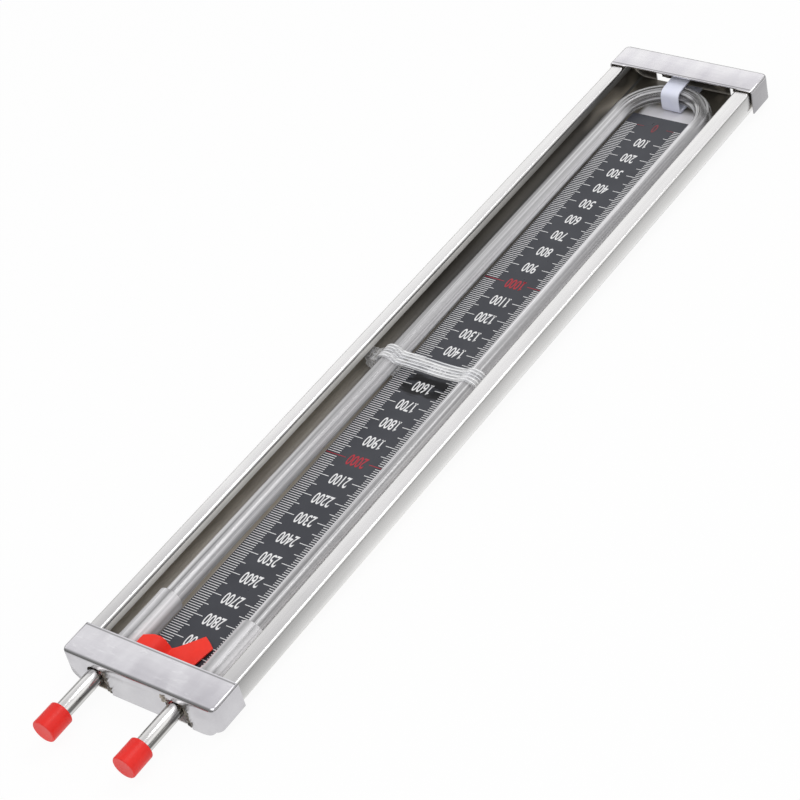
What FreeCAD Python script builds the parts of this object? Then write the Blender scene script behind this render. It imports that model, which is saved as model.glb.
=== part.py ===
import FreeCAD, Part
import math
import os

import Sketcher

# U tube manometer lying on the back of its folded steel channel.
# X runs across the channel, Y along it towards the bend of the glass, Z out of its open front.
# The origin is under the middle of the whole part, on the plane of the channel's back.

SIZES = (
    # Channel folded from one sheet
    ("casing_sheet", 0.7),
    ("side_room", 10.0),
    ("front_room", 1.35),
    ("back_bend", 8.0),
    ("front_bend", 1.2),
    ("lip_width", 5.2),
    ("lip_return", 5.3),
    ("casing_end_gap", 0.3),
    # Pressed caps over both ends of the channel
    ("end_to_end", 357.9),
    ("cap_length", 13.1),
    ("cap_sheet", 0.6),
    ("cap_bend", 1.3),
    ("cap_end_bend", 1.0),
    ("cap_side_gap", 0.5),
    ("cap_face_gap", 0.5),
    ("cap_side_depth", 10.4),
    ("cap_apron_lift", 0.1),
    ("cap_apron_run", 4.5),
    ("cap_apron_round", 8.0),
    ("left_notch_left_gap", 0.4),
    ("left_notch_right_gap", 1.6),
    ("right_notch_left_gap", 1.1),
    ("right_notch_right_gap", 1.5),
    ("notch_top_gap", 1.5),
    ("notch_corner", 1.6),
    # Glass tube
    ("glass_diameter", 7.0),
    ("glass_wall", 1.1),
    ("limb_spacing", 34.8),
    ("bend_inset", 31.7),
    ("limb_inset", 18.3),
    ("bend_lift", 2.1),
    ("limb_rise", 1.2),
    # Clear hoses that join the limbs to the pipes
    ("hose_diameter", 9.5),
    ("hose_grip", 19.4),
    ("hose_lead", 2.0),
    ("hose_offset_length", 10.0),
    ("hose_end_gap", 1.1),
    ("hose_chamfer", 0.3),
    ("slip_gap", 0.05),
    ("left_pipe_shift", 1.4),
    ("right_pipe_shift", 2.5),
    # Steel pipes and the caps pushed over their ends
    ("pipe_diameter", 6.0),
    ("pipe_wall", 0.8),
    ("pipe_reach", 25.0),
    ("pipe_chamfer", 0.3),
    ("plug_wall", 1.45),
    ("plug_floor", 1.2),
    ("plug_length", 9.2),
    ("plug_chamfer", 0.45),
    ("plug_seat_gap", 0.1),
    # Scale plate on its foam pads
    ("plate_sheet", 1.0),
    ("plate_under_hose", 1.05),
    ("plate_near_overrun", 1.7),
    ("plate_far_overrun", 3.6),
    ("pad_height", 2.6),
    ("pad_width", 22.0),
    ("pad_end_inset", 3.0),
    ("pad_tie_gap", 2.5),
    # Band tied round the limbs and the plate
    ("tie_inset", 191.9),
    ("tie_width", 7.3),
    ("tie_thickness", 1.0),
    ("tie_gap", 0.15),
    ("tie_plate_gap", 0.3),
    ("tie_sag", 1.7),
    ("tie_hug", 1.5),
    ("tie_fall", 4.5),
    ("tie_fold", 2.0),
    ("tie_corner", 2.6),
    ("tie_head_width", 5.3),
    ("tie_head_height", 4.8),
    ("tie_head_length", 6.8),
    ("tie_head_round", 1.1),
    ("tie_head_gap", 0.4),
    ("tie_slot_width", 2.6),
    ("tie_slot_length", 3.6),
    # Strap that holds the bend down
    ("strap_width", 7.8),
    ("strap_offset", 1.8),
    ("strap_thickness", 1.1),
    ("strap_gap", 0.3),
    ("strap_slack", 1.6),
    ("strap_floor_gap", 0.2),
    ("strap_end_gap", 0.6),
    ("strap_flat", 3.5),
    ("strap_cap_gap", 0.3),
    ("strap_fold", 1.6),
    # Red folded strip that lies on the plate beside the near cap
    ("strip_thickness", 0.9),
    ("strip_lift", 5.4),
    ("strip_end_rise", 1.4),
    ("strip_plate_gap", 0.05),
    ("strip_fold", 0.8),
    ("strip_tail", 8.0),
    ("strip_hose_lap", 0.45),
    ("strip_shoulder", 7.7),
    ("strip_valley", 4.6),
    ("strip_peak", 3.5),
    ("strip_right", 8.3),
    ("strip_left_run", 10.8),
    ("strip_shoulder_run", 12.8),
    ("strip_valley_run", 13.2),
    ("strip_peak_run", 21.8),
    ("strip_right_run", 19.0),
)

FAR_CAP_TURN = 180.0
PARTS_FOLDER = "parts"


doc = FreeCAD.newDocument("UTubeManometer")
sheet = doc.addObject("Spreadsheet::Sheet", "Sizes")
for row, (alias, number) in enumerate(SIZES, start=1):
    sheet.set(f"A{row}", alias)
    sheet.set(f"B{row}", str(number))
    sheet.setAlias(f"B{row}", alias)
doc.recompute()


class Size:
    """A length or angle worked out from the sheet: its expression and its present number."""

    def __init__(self, text, number):
        self.text = text
        self.number = number

    def __add__(self, other):
        other = as_size(other)
        return Size(f"({self.text} + {other.text})", self.number + other.number)

    def __sub__(self, other):
        other = as_size(other)
        return Size(f"({self.text} - {other.text})", self.number - other.number)

    def __mul__(self, other):
        other = as_size(other)
        return Size(f"({self.text} * {other.text})", self.number * other.number)

    def __truediv__(self, other):
        other = as_size(other)
        return Size(f"({self.text} / {other.text})", self.number / other.number)

    def __neg__(self):
        return Size(f"(0 - {self.text})", -self.number)


def as_size(value):
    """Let a plain number stand in a sum of sizes."""
    if isinstance(value, Size):
        return value
    return Size(repr(float(value)), float(value))


def of(alias):
    """Read one size of the sheet."""
    return Size(f"Sizes.{alias}", float(getattr(sheet, alias)))


def slope_angle(rise, run):
    """The angle in degrees of a slope that rises so much over its run."""
    ratio = rise / run
    return Size(f"atan({ratio.text})", math.degrees(math.atan(ratio.number)))


def half_tangent(angle):
    """The tangent of half an angle: how far a corner moves when both its sides move out by one."""
    half = angle / 2
    return Size(f"tan({half.text})", math.tan(math.radians(half.number)))


def bind(thing, name, size):
    """Tie one property of an object to the sheet."""
    thing.setExpression(name, as_size(size).text)


def place(thing, x=0, y=0, z=0):
    """Tie an object's place to the sheet."""
    for letter, size in zip("xyz", (x, y, z)):
        bind(thing, f"Placement.Base.{letter}", size)


def new_body(label):
    body = doc.addObject("PartDesign::Body", label)
    body.Label = label
    return body


def new_sketch(body, plane, name):
    """A sketch on one of the body's own origin planes."""
    sketch = body.newObject("Sketcher::SketchObject", name)
    sketch.AttachmentSupport = [(origin_feature(body, plane), "")]
    sketch.MapMode = "FlatFace"
    return sketch


def origin_feature(body, role):
    for feature in body.Origin.OriginFeatures:
        if feature.Role == role:
            return feature
    raise ValueError(f"{body.Label} has no {role}")


def constrain(sketch, size, *arguments):
    """Add a constraint whose value is tied to the sheet."""
    index = sketch.addConstraint(Sketcher.Constraint(*arguments, size.number))
    sketch.setExpression(f"Constraints[{index}]", size.text)


def pin_point(sketch, geometry, position, x, y):
    """Hold a point at its two coordinates, whatever their sign."""
    for kind, axis, size in (("DistanceX", -2, as_size(x)), ("DistanceY", -1, as_size(y))):
        if abs(size.number) < 1e-9:
            sketch.addConstraint(Sketcher.Constraint("PointOnObject", geometry, position, axis))
        elif size.number > 0:
            constrain(sketch, size, kind, -1, 1, geometry, position)
        else:
            constrain(sketch, -size, kind, geometry, position, -1, 1)


def draw_outline(sketch, corners):
    """Close an outline through its corners, each (x, y) when sharp and (x, y, radius) when round."""
    corners = [tuple(as_size(value) for value in corner) for corner in corners]
    points = [FreeCAD.Vector(corner[0].number, corner[1].number, 0) for corner in corners]
    count = len(corners)
    ends = []
    for index, corner in enumerate(corners):
        here = points[index]
        back = (points[index - 1] - here).normalize()
        ahead = (points[(index + 1) % count] - here).normalize()
        if len(corner) == 2:
            ends.append((here, here, None))
            continue
        radius = corner[2].number
        half = back.getAngle(ahead) / 2
        reach = radius / math.tan(half)
        centre = here + (back + ahead).normalize() * (radius / math.sin(half))
        ends.append((here + back * reach, here + ahead * reach, centre))

    lines = []
    for index in range(count):
        leave = ends[index][1]
        arrive = ends[(index + 1) % count][0]
        lines.append(sketch.addGeometry(Part.LineSegment(leave, arrive), False))

    for index, corner in enumerate(corners):
        arrive, leave, centre = ends[index]
        before = lines[index - 1]
        after = lines[index]
        mark = sketch.addGeometry(Part.Point(points[index]), True)
        pin_point(sketch, mark, 1, corner[0], corner[1])
        if centre is None:
            sketch.addConstraint(Sketcher.Constraint("Coincident", before, 2, mark, 1))
            sketch.addConstraint(Sketcher.Constraint("Coincident", after, 1, mark, 1))
            continue
        start, end = (heading(point - centre) for point in (arrive, leave))
        turns_left = (points[index] - points[index - 1]).cross(leave - points[index]).z > 0
        if not turns_left:
            start, end = end, start
        if end < start:
            end += 2 * math.pi
        circle = Part.Circle(centre, FreeCAD.Vector(0, 0, 1), corner[2].number)
        arc = sketch.addGeometry(Part.ArcOfCircle(circle, start, end), False)
        first, last = (1, 2) if turns_left else (2, 1)
        sketch.addConstraint(Sketcher.Constraint("PointOnObject", mark, 1, before))
        sketch.addConstraint(Sketcher.Constraint("PointOnObject", mark, 1, after))
        sketch.addConstraint(Sketcher.Constraint("Tangent", before, 2, arc, first))
        sketch.addConstraint(Sketcher.Constraint("Tangent", arc, last, after, 1))
        constrain(sketch, corner[2], "Radius", arc)


def heading(vector):
    return math.atan2(vector.y, vector.x)


def draw_circle(sketch, x, y, radius):
    x, y, radius = as_size(x), as_size(y), as_size(radius)
    centre = FreeCAD.Vector(x.number, y.number, 0)
    circle = sketch.addGeometry(Part.Circle(centre, FreeCAD.Vector(0, 0, 1), radius.number), False)
    pin_point(sketch, circle, 3, x, y)
    constrain(sketch, radius, "Radius", circle)


def box_corners(low_x, high_x, low_y, high_y):
    return [(low_x, low_y), (high_x, low_y), (high_x, high_y), (low_x, high_y)]


def pad(body, sketch, name, length, backwards=False, centred=False):
    """Thicken a sketch along its plane's normal, or against it, or to both sides."""
    feature = body.newObject("PartDesign::Pad", name)
    feature.Profile = sketch
    bind(feature, "Length", length)
    feature.Reversed = backwards
    feature.Midplane = centred
    doc.recompute()
    return feature


def pocket(body, sketch, name, length, backwards=False, centred=False):
    """Cut a sketch away, and make sure that it did cut."""
    before = body.Shape.Volume
    feature = body.newObject("PartDesign::Pocket", name)
    feature.Profile = sketch
    bind(feature, "Length", length)
    feature.Reversed = backwards
    feature.Midplane = centred
    doc.recompute()
    if body.Shape.Volume >= before:
        raise ValueError(f"{body.Label}: {name} cuts nothing")
    return feature


def edges_of(shape, wanted):
    """Names of the edges that the test picks."""
    return [f"Edge{number}" for number, edge in enumerate(shape.Edges, start=1) if wanted(edge)]


def fillet(body, name, radius, wanted):
    base = body.Tip
    feature = body.newObject("PartDesign::Fillet", name)
    feature.Base = (base, edges_of(base.Shape, wanted))
    bind(feature, "Radius", radius)
    doc.recompute()
    return feature


def chamfer(body, name, size, wanted):
    base = body.Tip
    feature = body.newObject("PartDesign::Chamfer", name)
    feature.Base = (base, edges_of(base.Shape, wanted))
    bind(feature, "Size", size)
    doc.recompute()
    return feature


def mirror_half(body, feature, plane, name):
    """Add the other half of a symmetric piece."""
    copy = body.newObject("PartDesign::Mirrored", name)
    copy.Originals = [feature]
    copy.MirrorPlane = (origin_feature(body, plane), [""])
    body.Tip = copy
    doc.recompute()
    return copy


# Places that the pieces share

OVERALL = of("end_to_end") + of("pipe_reach") + of("plug_seat_gap") + of("plug_floor")
FAR_FACE = OVERALL / 2
NEAR_FACE = FAR_FACE - of("end_to_end")

PLATE_TOP = of("casing_sheet") + of("pad_height") + of("plate_sheet")
PLATE_UNDER = of("casing_sheet") + of("pad_height")

GLASS_RADIUS = of("glass_diameter") / 2
LIMB_X = of("limb_spacing") / 2
BEND_Y = FAR_FACE - of("bend_inset")
OPEN_Y = NEAR_FACE + of("limb_inset")
LIMB_LENGTH = BEND_Y - OPEN_Y
BEND_Z = PLATE_TOP + of("bend_lift")
OPEN_Z = BEND_Z + of("limb_rise")
TILT = slope_angle(of("limb_rise"), LIMB_LENGTH)

HOSE_RADIUS = of("hose_diameter") / 2
HOSE_END = of("limb_inset") - of("cap_sheet") - of("hose_end_gap")
PLATE_NEAR = OPEN_Y - of("plate_near_overrun")
PLATE_FAR = BEND_Y + of("plate_far_overrun")
PLATE_HALF = LIMB_X - HOSE_RADIUS + of("plate_under_hose")

CAP_INSIDE = OPEN_Z + HOSE_RADIUS + of("front_room")
CAP_FACE = CAP_INSIDE + of("cap_sheet")
CASING_DEPTH = CAP_INSIDE - of("cap_face_gap")
CASING_HALF = LIMB_X + GLASS_RADIUS + of("side_room")
CAP_HALF = CASING_HALF + of("cap_side_gap") + of("cap_sheet")
RETURN_END = CASING_DEPTH - of("lip_return")

PIPE_RADIUS = of("pipe_diameter") / 2
PIPE_INNER_END = of("hose_offset_length")
PIPE_OUTER_END = of("limb_inset") + of("pipe_reach")
LEFT_PIPE_X = -LIMB_X - of("left_pipe_shift")
RIGHT_PIPE_X = LIMB_X - of("right_pipe_shift")

TIE_Y = FAR_FACE - of("tie_inset")


def lay_in_tube_plane(body):
    """Put a body in the plane of the glass, with its origin midway between the limbs' open ends.

    The plane leans a little, so that the open ends lie further out than the bend.
    """
    place(body, 0, OPEN_Y, OPEN_Z)
    lean_with_tube(body)


def lean_with_tube(body):
    """Turn a body so that its Y axis falls towards the bend as the limbs do."""
    body.Placement.Rotation = FreeCAD.Rotation(FreeCAD.Vector(-1, 0, 0), TILT.number)
    bind(body, "Placement.Rotation.Angle", TILT)


# Channel


def make_casing():
    """A C channel with rounded back corners and lips that turn back inside the front."""
    body = new_body("casing")
    wall = of("casing_sheet")
    depth = CASING_DEPTH
    lip = CASING_HALF - of("lip_width")
    back = of("back_bend")
    front = of("front_bend")
    half = [
        (0, 0),
        (CASING_HALF, 0, back),
        (CASING_HALF, depth, front),
        (lip, depth, front),
        (lip, RETURN_END),
        (lip + wall, RETURN_END),
        (lip + wall, depth - wall, front - wall),
        (CASING_HALF - wall, depth - wall, front - wall),
        (CASING_HALF - wall, wall, back - wall),
        (0, wall),
    ]
    sketch = new_sketch(body, "XZ_Plane", "ChannelSection")
    draw_outline(sketch, half)
    ends = (of("cap_sheet") + of("casing_end_gap")) * 2
    run = pad(body, sketch, "ChannelHalf", of("end_to_end") - ends, centred=True)
    mirror_half(body, run, "YZ_Plane", "ChannelOtherHalf")
    place(body, 0, (NEAR_FACE + FAR_FACE) / 2, 0)
    return body


# End caps


def make_end_cap(label, end_face, turn):
    """A pressed cap: a flat face, two side walls and an end wall whose lower corners follow the channel's back.

    It is modelled with its mouth towards +Y and turned round for the far end.
    """
    body = new_body(label)
    wall = of("cap_sheet")
    bend = of("cap_bend")
    side_end = CAP_FACE - of("cap_side_depth")
    outer = new_sketch(body, "XZ_Plane", "CapSection")
    draw_outline(outer, [
        (-CAP_HALF, side_end),
        (CAP_HALF, side_end),
        (CAP_HALF, CAP_FACE, bend),
        (-CAP_HALF, CAP_FACE, bend),
    ])
    pad(body, outer, "CapBlock", of("cap_length"), backwards=True)
    fillet(body, "CapEndBends", of("cap_end_bend"), is_end_bend)

    inner = new_sketch(body, "XZ_Plane", "CapHollow")
    bind(inner, "AttachmentOffset.Base.z", -wall)
    draw_outline(inner, [
        (wall - CAP_HALF, side_end - 1),
        (CAP_HALF - wall, side_end - 1),
        (CAP_HALF - wall, CAP_FACE - wall, bend - wall),
        (wall - CAP_HALF, CAP_FACE - wall, bend - wall),
    ])
    pocket(body, inner, "CapInside", of("cap_length"))

    apron = new_sketch(body, "XZ_Plane", "CapApron")
    half = CAP_HALF - of("cap_end_bend")
    foot = half - of("cap_apron_run")
    lift = of("cap_apron_lift")
    corner_round = of("cap_apron_round")
    draw_outline(apron, [
        (-foot, lift, corner_round),
        (foot, lift, corner_round),
        (half, side_end),
        (half, side_end + wall),
        (-half, side_end + wall),
        (-half, side_end),
    ])
    pad(body, apron, "CapApronPlate", wall, backwards=True)

    notches = new_sketch(body, "XZ_Plane", "PipeNotches")
    top = OPEN_Z + PIPE_RADIUS + of("notch_top_gap")
    corner = of("notch_corner")
    for middle, name in ((LEFT_PIPE_X, "left"), (RIGHT_PIPE_X, "right")):
        low = middle - PIPE_RADIUS - of(name + "_notch_left_gap")
        high = middle + PIPE_RADIUS + of(name + "_notch_right_gap")
        draw_outline(notches, [(low, -1), (high, -1), (high, top, corner), (low, top, corner)])
    pocket(body, notches, "PipeNotchCuts", wall * 2, centred=True)

    place(body, 0, end_face, 0)
    body.Placement.Rotation = FreeCAD.Rotation(FreeCAD.Vector(0, 0, 1), turn)
    return body


def is_end_bend(edge):
    """The outer edges of the end wall, all but its lower one."""
    middle = edge.valueAt((edge.FirstParameter + edge.LastParameter) / 2)
    lower_edge = CAP_FACE.number - of("cap_side_depth").number
    return abs(middle.y) < 1e-3 and middle.z > lower_edge + 1e-3


# Glass, hoses and pipes, all in the leaning plane of the glass


def make_glass():
    """The glass: two straight limbs and a half circle, one tube of even section."""
    body = new_body("u_tube")
    path = new_sketch(body, "XY_Plane", "GlassPath")
    far = LIMB_LENGTH.number
    half = LIMB_X.number
    left = path.addGeometry(Part.LineSegment(point(-half, 0), point(-half, far)), False)
    arc = path.addGeometry(Part.Arc(point(-half, far), point(0, far + half), point(half, far)), False)
    right = path.addGeometry(Part.LineSegment(point(half, far), point(half, 0)), False)
    path.addConstraint(Sketcher.Constraint("Tangent", left, 2, arc, 2))
    path.addConstraint(Sketcher.Constraint("Tangent", arc, 1, right, 1))
    path.addConstraint(Sketcher.Constraint("Vertical", left))
    pin_point(path, left, 1, -LIMB_X, 0)
    pin_point(path, right, 2, LIMB_X, 0)
    constrain(path, LIMB_LENGTH, "DistanceY", left, 1, left, 2)
    section = new_sketch(body, "XZ_Plane", "GlassSection")
    draw_circle(section, -LIMB_X, 0, GLASS_RADIUS)
    draw_circle(section, -LIMB_X, 0, GLASS_RADIUS - of("glass_wall"))
    sweep = body.newObject("PartDesign::AdditivePipe", "GlassSweep")
    sweep.Profile = section
    sweep.Spine = (path, [])
    doc.recompute()
    lay_in_tube_plane(body)
    return body


def point(x, y):
    return FreeCAD.Vector(x, y, 0)


def draw_hose_path(sketch, limb_x, shift):
    """A hose's line from its mouth on the limb, slanting over to the pipe, to its end."""
    run = of("hose_offset_length")
    pipe_x = limb_x - shift
    lead = of("hose_lead")
    corners = [(limb_x, of("hose_grip")), (limb_x, -lead), (pipe_x, -run), (pipe_x, -HOSE_END)]
    legs = []
    for (x, y), (next_x, next_y) in zip(corners, corners[1:]):
        start = point(as_size(x).number, as_size(y).number)
        end = point(as_size(next_x).number, as_size(next_y).number)
        legs.append(sketch.addGeometry(Part.LineSegment(start, end), False))
    for leg, following in zip(legs, legs[1:]):
        sketch.addConstraint(Sketcher.Constraint("Coincident", leg, 2, following, 1))
    for leg, (x, y) in zip(legs, corners):
        pin_point(sketch, leg, 1, x, y)
    pin_point(sketch, legs[-1], 2, *corners[-1])


def make_hose(label, limb_x, shift):
    """A clear hose pushed over a limb and over a pipe that lies a little beside it."""
    body = new_body(label)
    section = new_sketch(body, "XZ_Plane", "HoseSection")
    bind(section, "AttachmentOffset.Base.z", -of("hose_grip"))
    draw_circle(section, limb_x, 0, HOSE_RADIUS)
    path = new_sketch(body, "XY_Plane", "HosePath")
    draw_hose_path(path, limb_x, shift)
    outside = body.newObject("PartDesign::AdditivePipe", "HoseOutside")
    outside.Profile = section
    outside.Spine = (path, [])
    outside.Transition = "Right corner"
    doc.recompute()

    bore = new_sketch(body, "XZ_Plane", "PipeBoreSection")
    bind(bore, "AttachmentOffset.Base.z", -of("hose_grip"))
    draw_circle(bore, limb_x, 0, PIPE_RADIUS + of("slip_gap"))
    bore_path = new_sketch(body, "XY_Plane", "BorePath")
    draw_hose_path(bore_path, limb_x, shift)
    inside = body.newObject("PartDesign::SubtractivePipe", "HoseBore")
    inside.Profile = bore
    inside.Spine = (bore_path, [])
    inside.Transition = "Right corner"
    doc.recompute()

    stretched = new_sketch(body, "XZ_Plane", "LimbBoreSection")
    draw_circle(stretched, limb_x, 0, GLASS_RADIUS + of("slip_gap"))
    pocket(body, stretched, "LimbBore", of("hose_grip"))
    chamfer(body, "HoseMouths", of("hose_chamfer"), is_hose_rim)
    lay_in_tube_plane(body)
    return body


def is_hose_rim(edge):
    """The outer rims at both mouths of a hose."""
    if not hasattr(edge.Curve, "Radius"):
        return False
    middle = edge.CenterOfMass.y
    at_limb_mouth = abs(middle - of("hose_grip").number) < 1e-3
    at_pipe_mouth = abs(middle + HOSE_END.number) < 1e-3
    is_outer = abs(edge.Curve.Radius - HOSE_RADIUS.number) < 1e-3
    return is_outer and (at_limb_mouth or at_pipe_mouth)


def make_pipe(label, x):
    """A straight steel pipe from inside its hose out through the notch of the near cap."""
    body = new_body(label)
    section = new_sketch(body, "XZ_Plane", "PipeSection")
    bind(section, "AttachmentOffset.Base.z", PIPE_INNER_END)
    draw_circle(section, x, 0, PIPE_RADIUS)
    draw_circle(section, x, 0, PIPE_RADIUS - of("pipe_wall"))
    pad(body, section, "PipeTube", PIPE_OUTER_END - PIPE_INNER_END)
    chamfer(body, "PipeRims", of("pipe_chamfer"), is_pipe_rim)
    lay_in_tube_plane(body)
    return body


def is_pipe_rim(edge):
    return hasattr(edge.Curve, "Radius") and abs(edge.Curve.Radius - PIPE_RADIUS.number) < 1e-6


def make_plug_cap(label, x):
    """A soft closed cap, turned about the axis of the pipe that it is pushed over."""
    body = new_body(label)
    outer = PIPE_RADIUS + of("plug_wall")
    bore = PIPE_RADIUS + of("slip_gap")
    closed = -(PIPE_OUTER_END + of("plug_seat_gap") + of("plug_floor"))
    mouth = closed + of("plug_length")
    bottom = closed + of("plug_floor")
    slant = of("plug_chamfer")
    half = new_sketch(body, "XY_Plane", "PlugSection")
    draw_outline(half, [
        (0, closed),
        (outer - slant, closed),
        (outer, closed + slant),
        (outer, mouth),
        (bore, mouth),
        (bore, bottom),
        (0, bottom),
    ])
    turned = body.newObject("PartDesign::Revolution", "PlugTurned")
    turned.Profile = half
    turned.ReferenceAxis = (half, ["V_Axis"])
    turned.Angle = 360
    doc.recompute()
    place(body, x, OPEN_Y, OPEN_Z)
    lean_with_tube(body)
    return body


# Scale plate and its pads


def make_plank(label, low_y, high_y, half_width, low_z, high_z):
    """A flat rectangular piece between two heights."""
    plank = doc.addObject("Part::Box", label)
    plank.Label = label
    bind(plank, "Width", high_y - low_y)
    bind(plank, "Length", half_width * 2)
    bind(plank, "Height", high_z - low_z)
    place(plank, -half_width, low_y, low_z)
    return plank


def make_plate_and_pads():
    """The scale plate, and two foam pads that leave room for the tie below it."""
    plate = make_plank("scale_plate", PLATE_NEAR, PLATE_FAR, PLATE_HALF, PLATE_UNDER, PLATE_TOP)
    room = of("tie_width") / 2 + of("pad_tie_gap")
    half = of("pad_width") / 2
    floor = of("casing_sheet")
    near_start = PLATE_NEAR + of("pad_end_inset")
    far_end = PLATE_FAR - of("pad_end_inset")
    near_pad = make_plank("pad_near", near_start, TIE_Y - room, half, floor, PLATE_UNDER)
    far_pad = make_plank("pad_far", TIE_Y + room, far_end, half, floor, PLATE_UNDER)
    return [plate, near_pad, far_pad]


# Tie


def tie_half_band(offset, middle):
    """Corners of one face of the band's right half, so far outside its inner face."""
    height = BEND_Z + of("limb_rise") * (BEND_Y - TIE_Y) / LIMB_LENGTH
    reach = GLASS_RADIUS + of("tie_gap") + offset
    crest = height + reach
    low = crest - of("tie_sag")
    hug = LIMB_X - of("tie_hug")
    fall = hug - of("tie_fall")
    lean = offset * half_tangent(slope_angle(of("tie_sag"), of("tie_fall")))
    under = PLATE_UNDER - of("tie_plate_gap") - offset
    return [
        (middle, low),
        (fall - lean, low, of("tie_fold") - offset),
        (hug - lean, crest, of("tie_fold") + offset),
        (LIMB_X + reach, crest, reach),
        (LIMB_X + reach, under, of("tie_corner") + offset),
        (middle, under),
    ]


def make_tie():
    """A ribbed band round both limbs and under the plate, with its head beside the left limb."""
    body = new_body("tube_tie")
    thickness = of("tie_thickness")
    inner = tie_half_band(as_size(0), 0)
    outer = tie_half_band(thickness, 0)
    section = new_sketch(body, "XZ_Plane", "BandSection")
    draw_outline(section, inner + outer[::-1])
    half = pad(body, section, "BandHalf", of("tie_width"), centred=True)
    mirror_half(body, half, "YZ_Plane", "BandOtherHalf")

    head_right = -(LIMB_X + GLASS_RADIUS + of("tie_gap") + thickness / 2)
    head_left = head_right - of("tie_head_width") - thickness / 2
    head_high = RETURN_END - of("tie_head_gap")
    head_low = head_high - of("tie_head_height")
    rounding = of("tie_head_round")
    head = new_sketch(body, "XZ_Plane", "HeadSection")
    draw_outline(head, [
        (head_left, head_low, rounding),
        (head_right, head_low),
        (head_right, head_high),
        (head_left, head_high, rounding),
    ])
    pad(body, head, "HeadBlock", of("tie_head_length"), centred=True)

    slot = new_sketch(body, "XY_Plane", "HeadSlot")
    slot_middle = head_left + of("tie_head_width") / 2
    slot_half = of("tie_slot_width") / 2
    slot_run = of("tie_slot_length") / 2
    draw_outline(slot, box_corners(slot_middle - slot_half, slot_middle + slot_half, -slot_run, slot_run))
    bind(slot, "AttachmentOffset.Base.z", head_low - 1)
    pocket(body, slot, "HeadSlotCut", of("tie_head_height") + 2, backwards=True)
    place(body, 0, TIE_Y, 0)
    return body


# Strap over the bend


def make_strap():
    """A band over the bend, down inside it and back beneath, with both ends under the far cap."""
    body = new_body("bend_strap")
    thickness = of("strap_thickness")
    fold = of("strap_fold")
    crown = BEND_Z + GLASS_RADIUS + of("strap_gap")
    floor = of("casing_sheet") + of("strap_floor_gap")
    far_end = FAR_FACE - of("cap_sheet") - of("strap_end_gap")
    near = BEND_Y + LIMB_X - GLASS_RADIUS - of("strap_slack") - thickness
    flat_end = BEND_Y + LIMB_X + of("strap_flat")
    top = crown + thickness
    end_top = CAP_INSIDE - of("strap_cap_gap")
    lean = thickness * half_tangent(slope_angle(end_top - top, far_end - flat_end))
    profile = [
        (near, top, fold + thickness),
        (near, floor, fold + thickness),
        (far_end, floor),
        (far_end, floor + thickness),
        (near + thickness, floor + thickness, fold),
        (near + thickness, crown, fold),
        (flat_end, crown, fold),
        (far_end, end_top - thickness),
        (far_end, end_top),
        (flat_end - lean, top, fold + thickness),
    ]
    section = new_sketch(body, "YZ_Plane", "StrapSection")
    draw_outline(section, profile)
    pad(body, section, "StrapRun", of("strap_width"), centred=True)
    place(body, -of("strap_offset"), 0, 0)
    return body


# Red strip


def make_strip():
    """A folded red strip: its left end stands high beside a hose and its right end lies low."""
    body = new_body("red_strip")
    thickness = of("strip_thickness")
    fold = of("strip_fold")
    low = PLATE_TOP + of("strip_plate_gap")
    high = low + of("strip_lift")
    end_rise = of("strip_end_rise")
    left = HOSE_RADIUS - LIMB_X - of("strip_hose_lap")
    shoulder = -of("strip_shoulder")
    valley = -of("strip_valley")
    right = of("strip_right")
    section = new_sketch(body, "XZ_Plane", "StripSection")
    draw_outline(section, [
        (left, high + end_rise - thickness),
        (shoulder - thickness / 2, high - thickness, fold),
        (valley - thickness / 2, low, fold + thickness),
        (right, low + end_rise / 2),
        (right, low + end_rise / 2 + thickness),
        (valley + thickness / 2, low + thickness, fold),
        (shoulder + thickness / 2, high, fold + thickness),
        (left, high + end_rise),
    ])
    pad(body, section, "StripRun", of("strip_peak_run"), backwards=True)

    plan = new_sketch(body, "XY_Plane", "StripPlanCut")
    beyond = of("strip_peak_run") + 1
    draw_outline(plan, [
        (left - 1, of("strip_left_run")),
        (shoulder, of("strip_shoulder_run")),
        (valley, of("strip_valley_run")),
        (of("strip_peak"), of("strip_peak_run")),
        (right + 1, of("strip_right_run")),
        (right + 1, beyond),
        (left - 1, beyond),
    ])
    pocket(body, plan, "StripFarEdge", CAP_FACE, backwards=True)
    place(body, 0, NEAR_FACE + of("strip_tail"), 0)
    return body


pieces = [
    make_casing(),
    make_end_cap("near_end_cap", NEAR_FACE, 0.0),
    make_end_cap("far_end_cap", FAR_FACE, FAR_CAP_TURN),
    make_glass(),
    make_hose("hose_left", -LIMB_X, of("left_pipe_shift")),
    make_hose("hose_right", LIMB_X, of("right_pipe_shift")),
    make_pipe("pipe_left", LEFT_PIPE_X),
    make_pipe("pipe_right", RIGHT_PIPE_X),
    make_plug_cap("plug_cap_left", LEFT_PIPE_X),
    make_plug_cap("plug_cap_right", RIGHT_PIPE_X),
]
pieces += make_plate_and_pads()
pieces += [make_tie(), make_strap(), make_strip()]
doc.recompute()


# Check every object, then write each piece

for thing in doc.Objects:
    if "Invalid" in thing.State or "Error" in thing.State:
        raise ValueError(f"{thing.Label} failed: {thing.State}")
os.makedirs(PARTS_FOLDER, exist_ok=True)
for piece in pieces:
    shape = piece.Shape
    if shape.isNull() or not shape.isValid() or not shape.Solids:
        raise ValueError(f"{piece.Label} has no sound solid")
    shape.exportStep(f"{PARTS_FOLDER}/{piece.Label}.step")
    box = shape.BoundBox
    print(f"{piece.Label}: {len(shape.Solids)} solid, {shape.Volume:.1f} mm3, "
          f"x {box.XMin:.2f} {box.XMax:.2f} y {box.YMin:.2f} {box.YMax:.2f} z {box.ZMin:.2f} {box.ZMax:.2f}")
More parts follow.
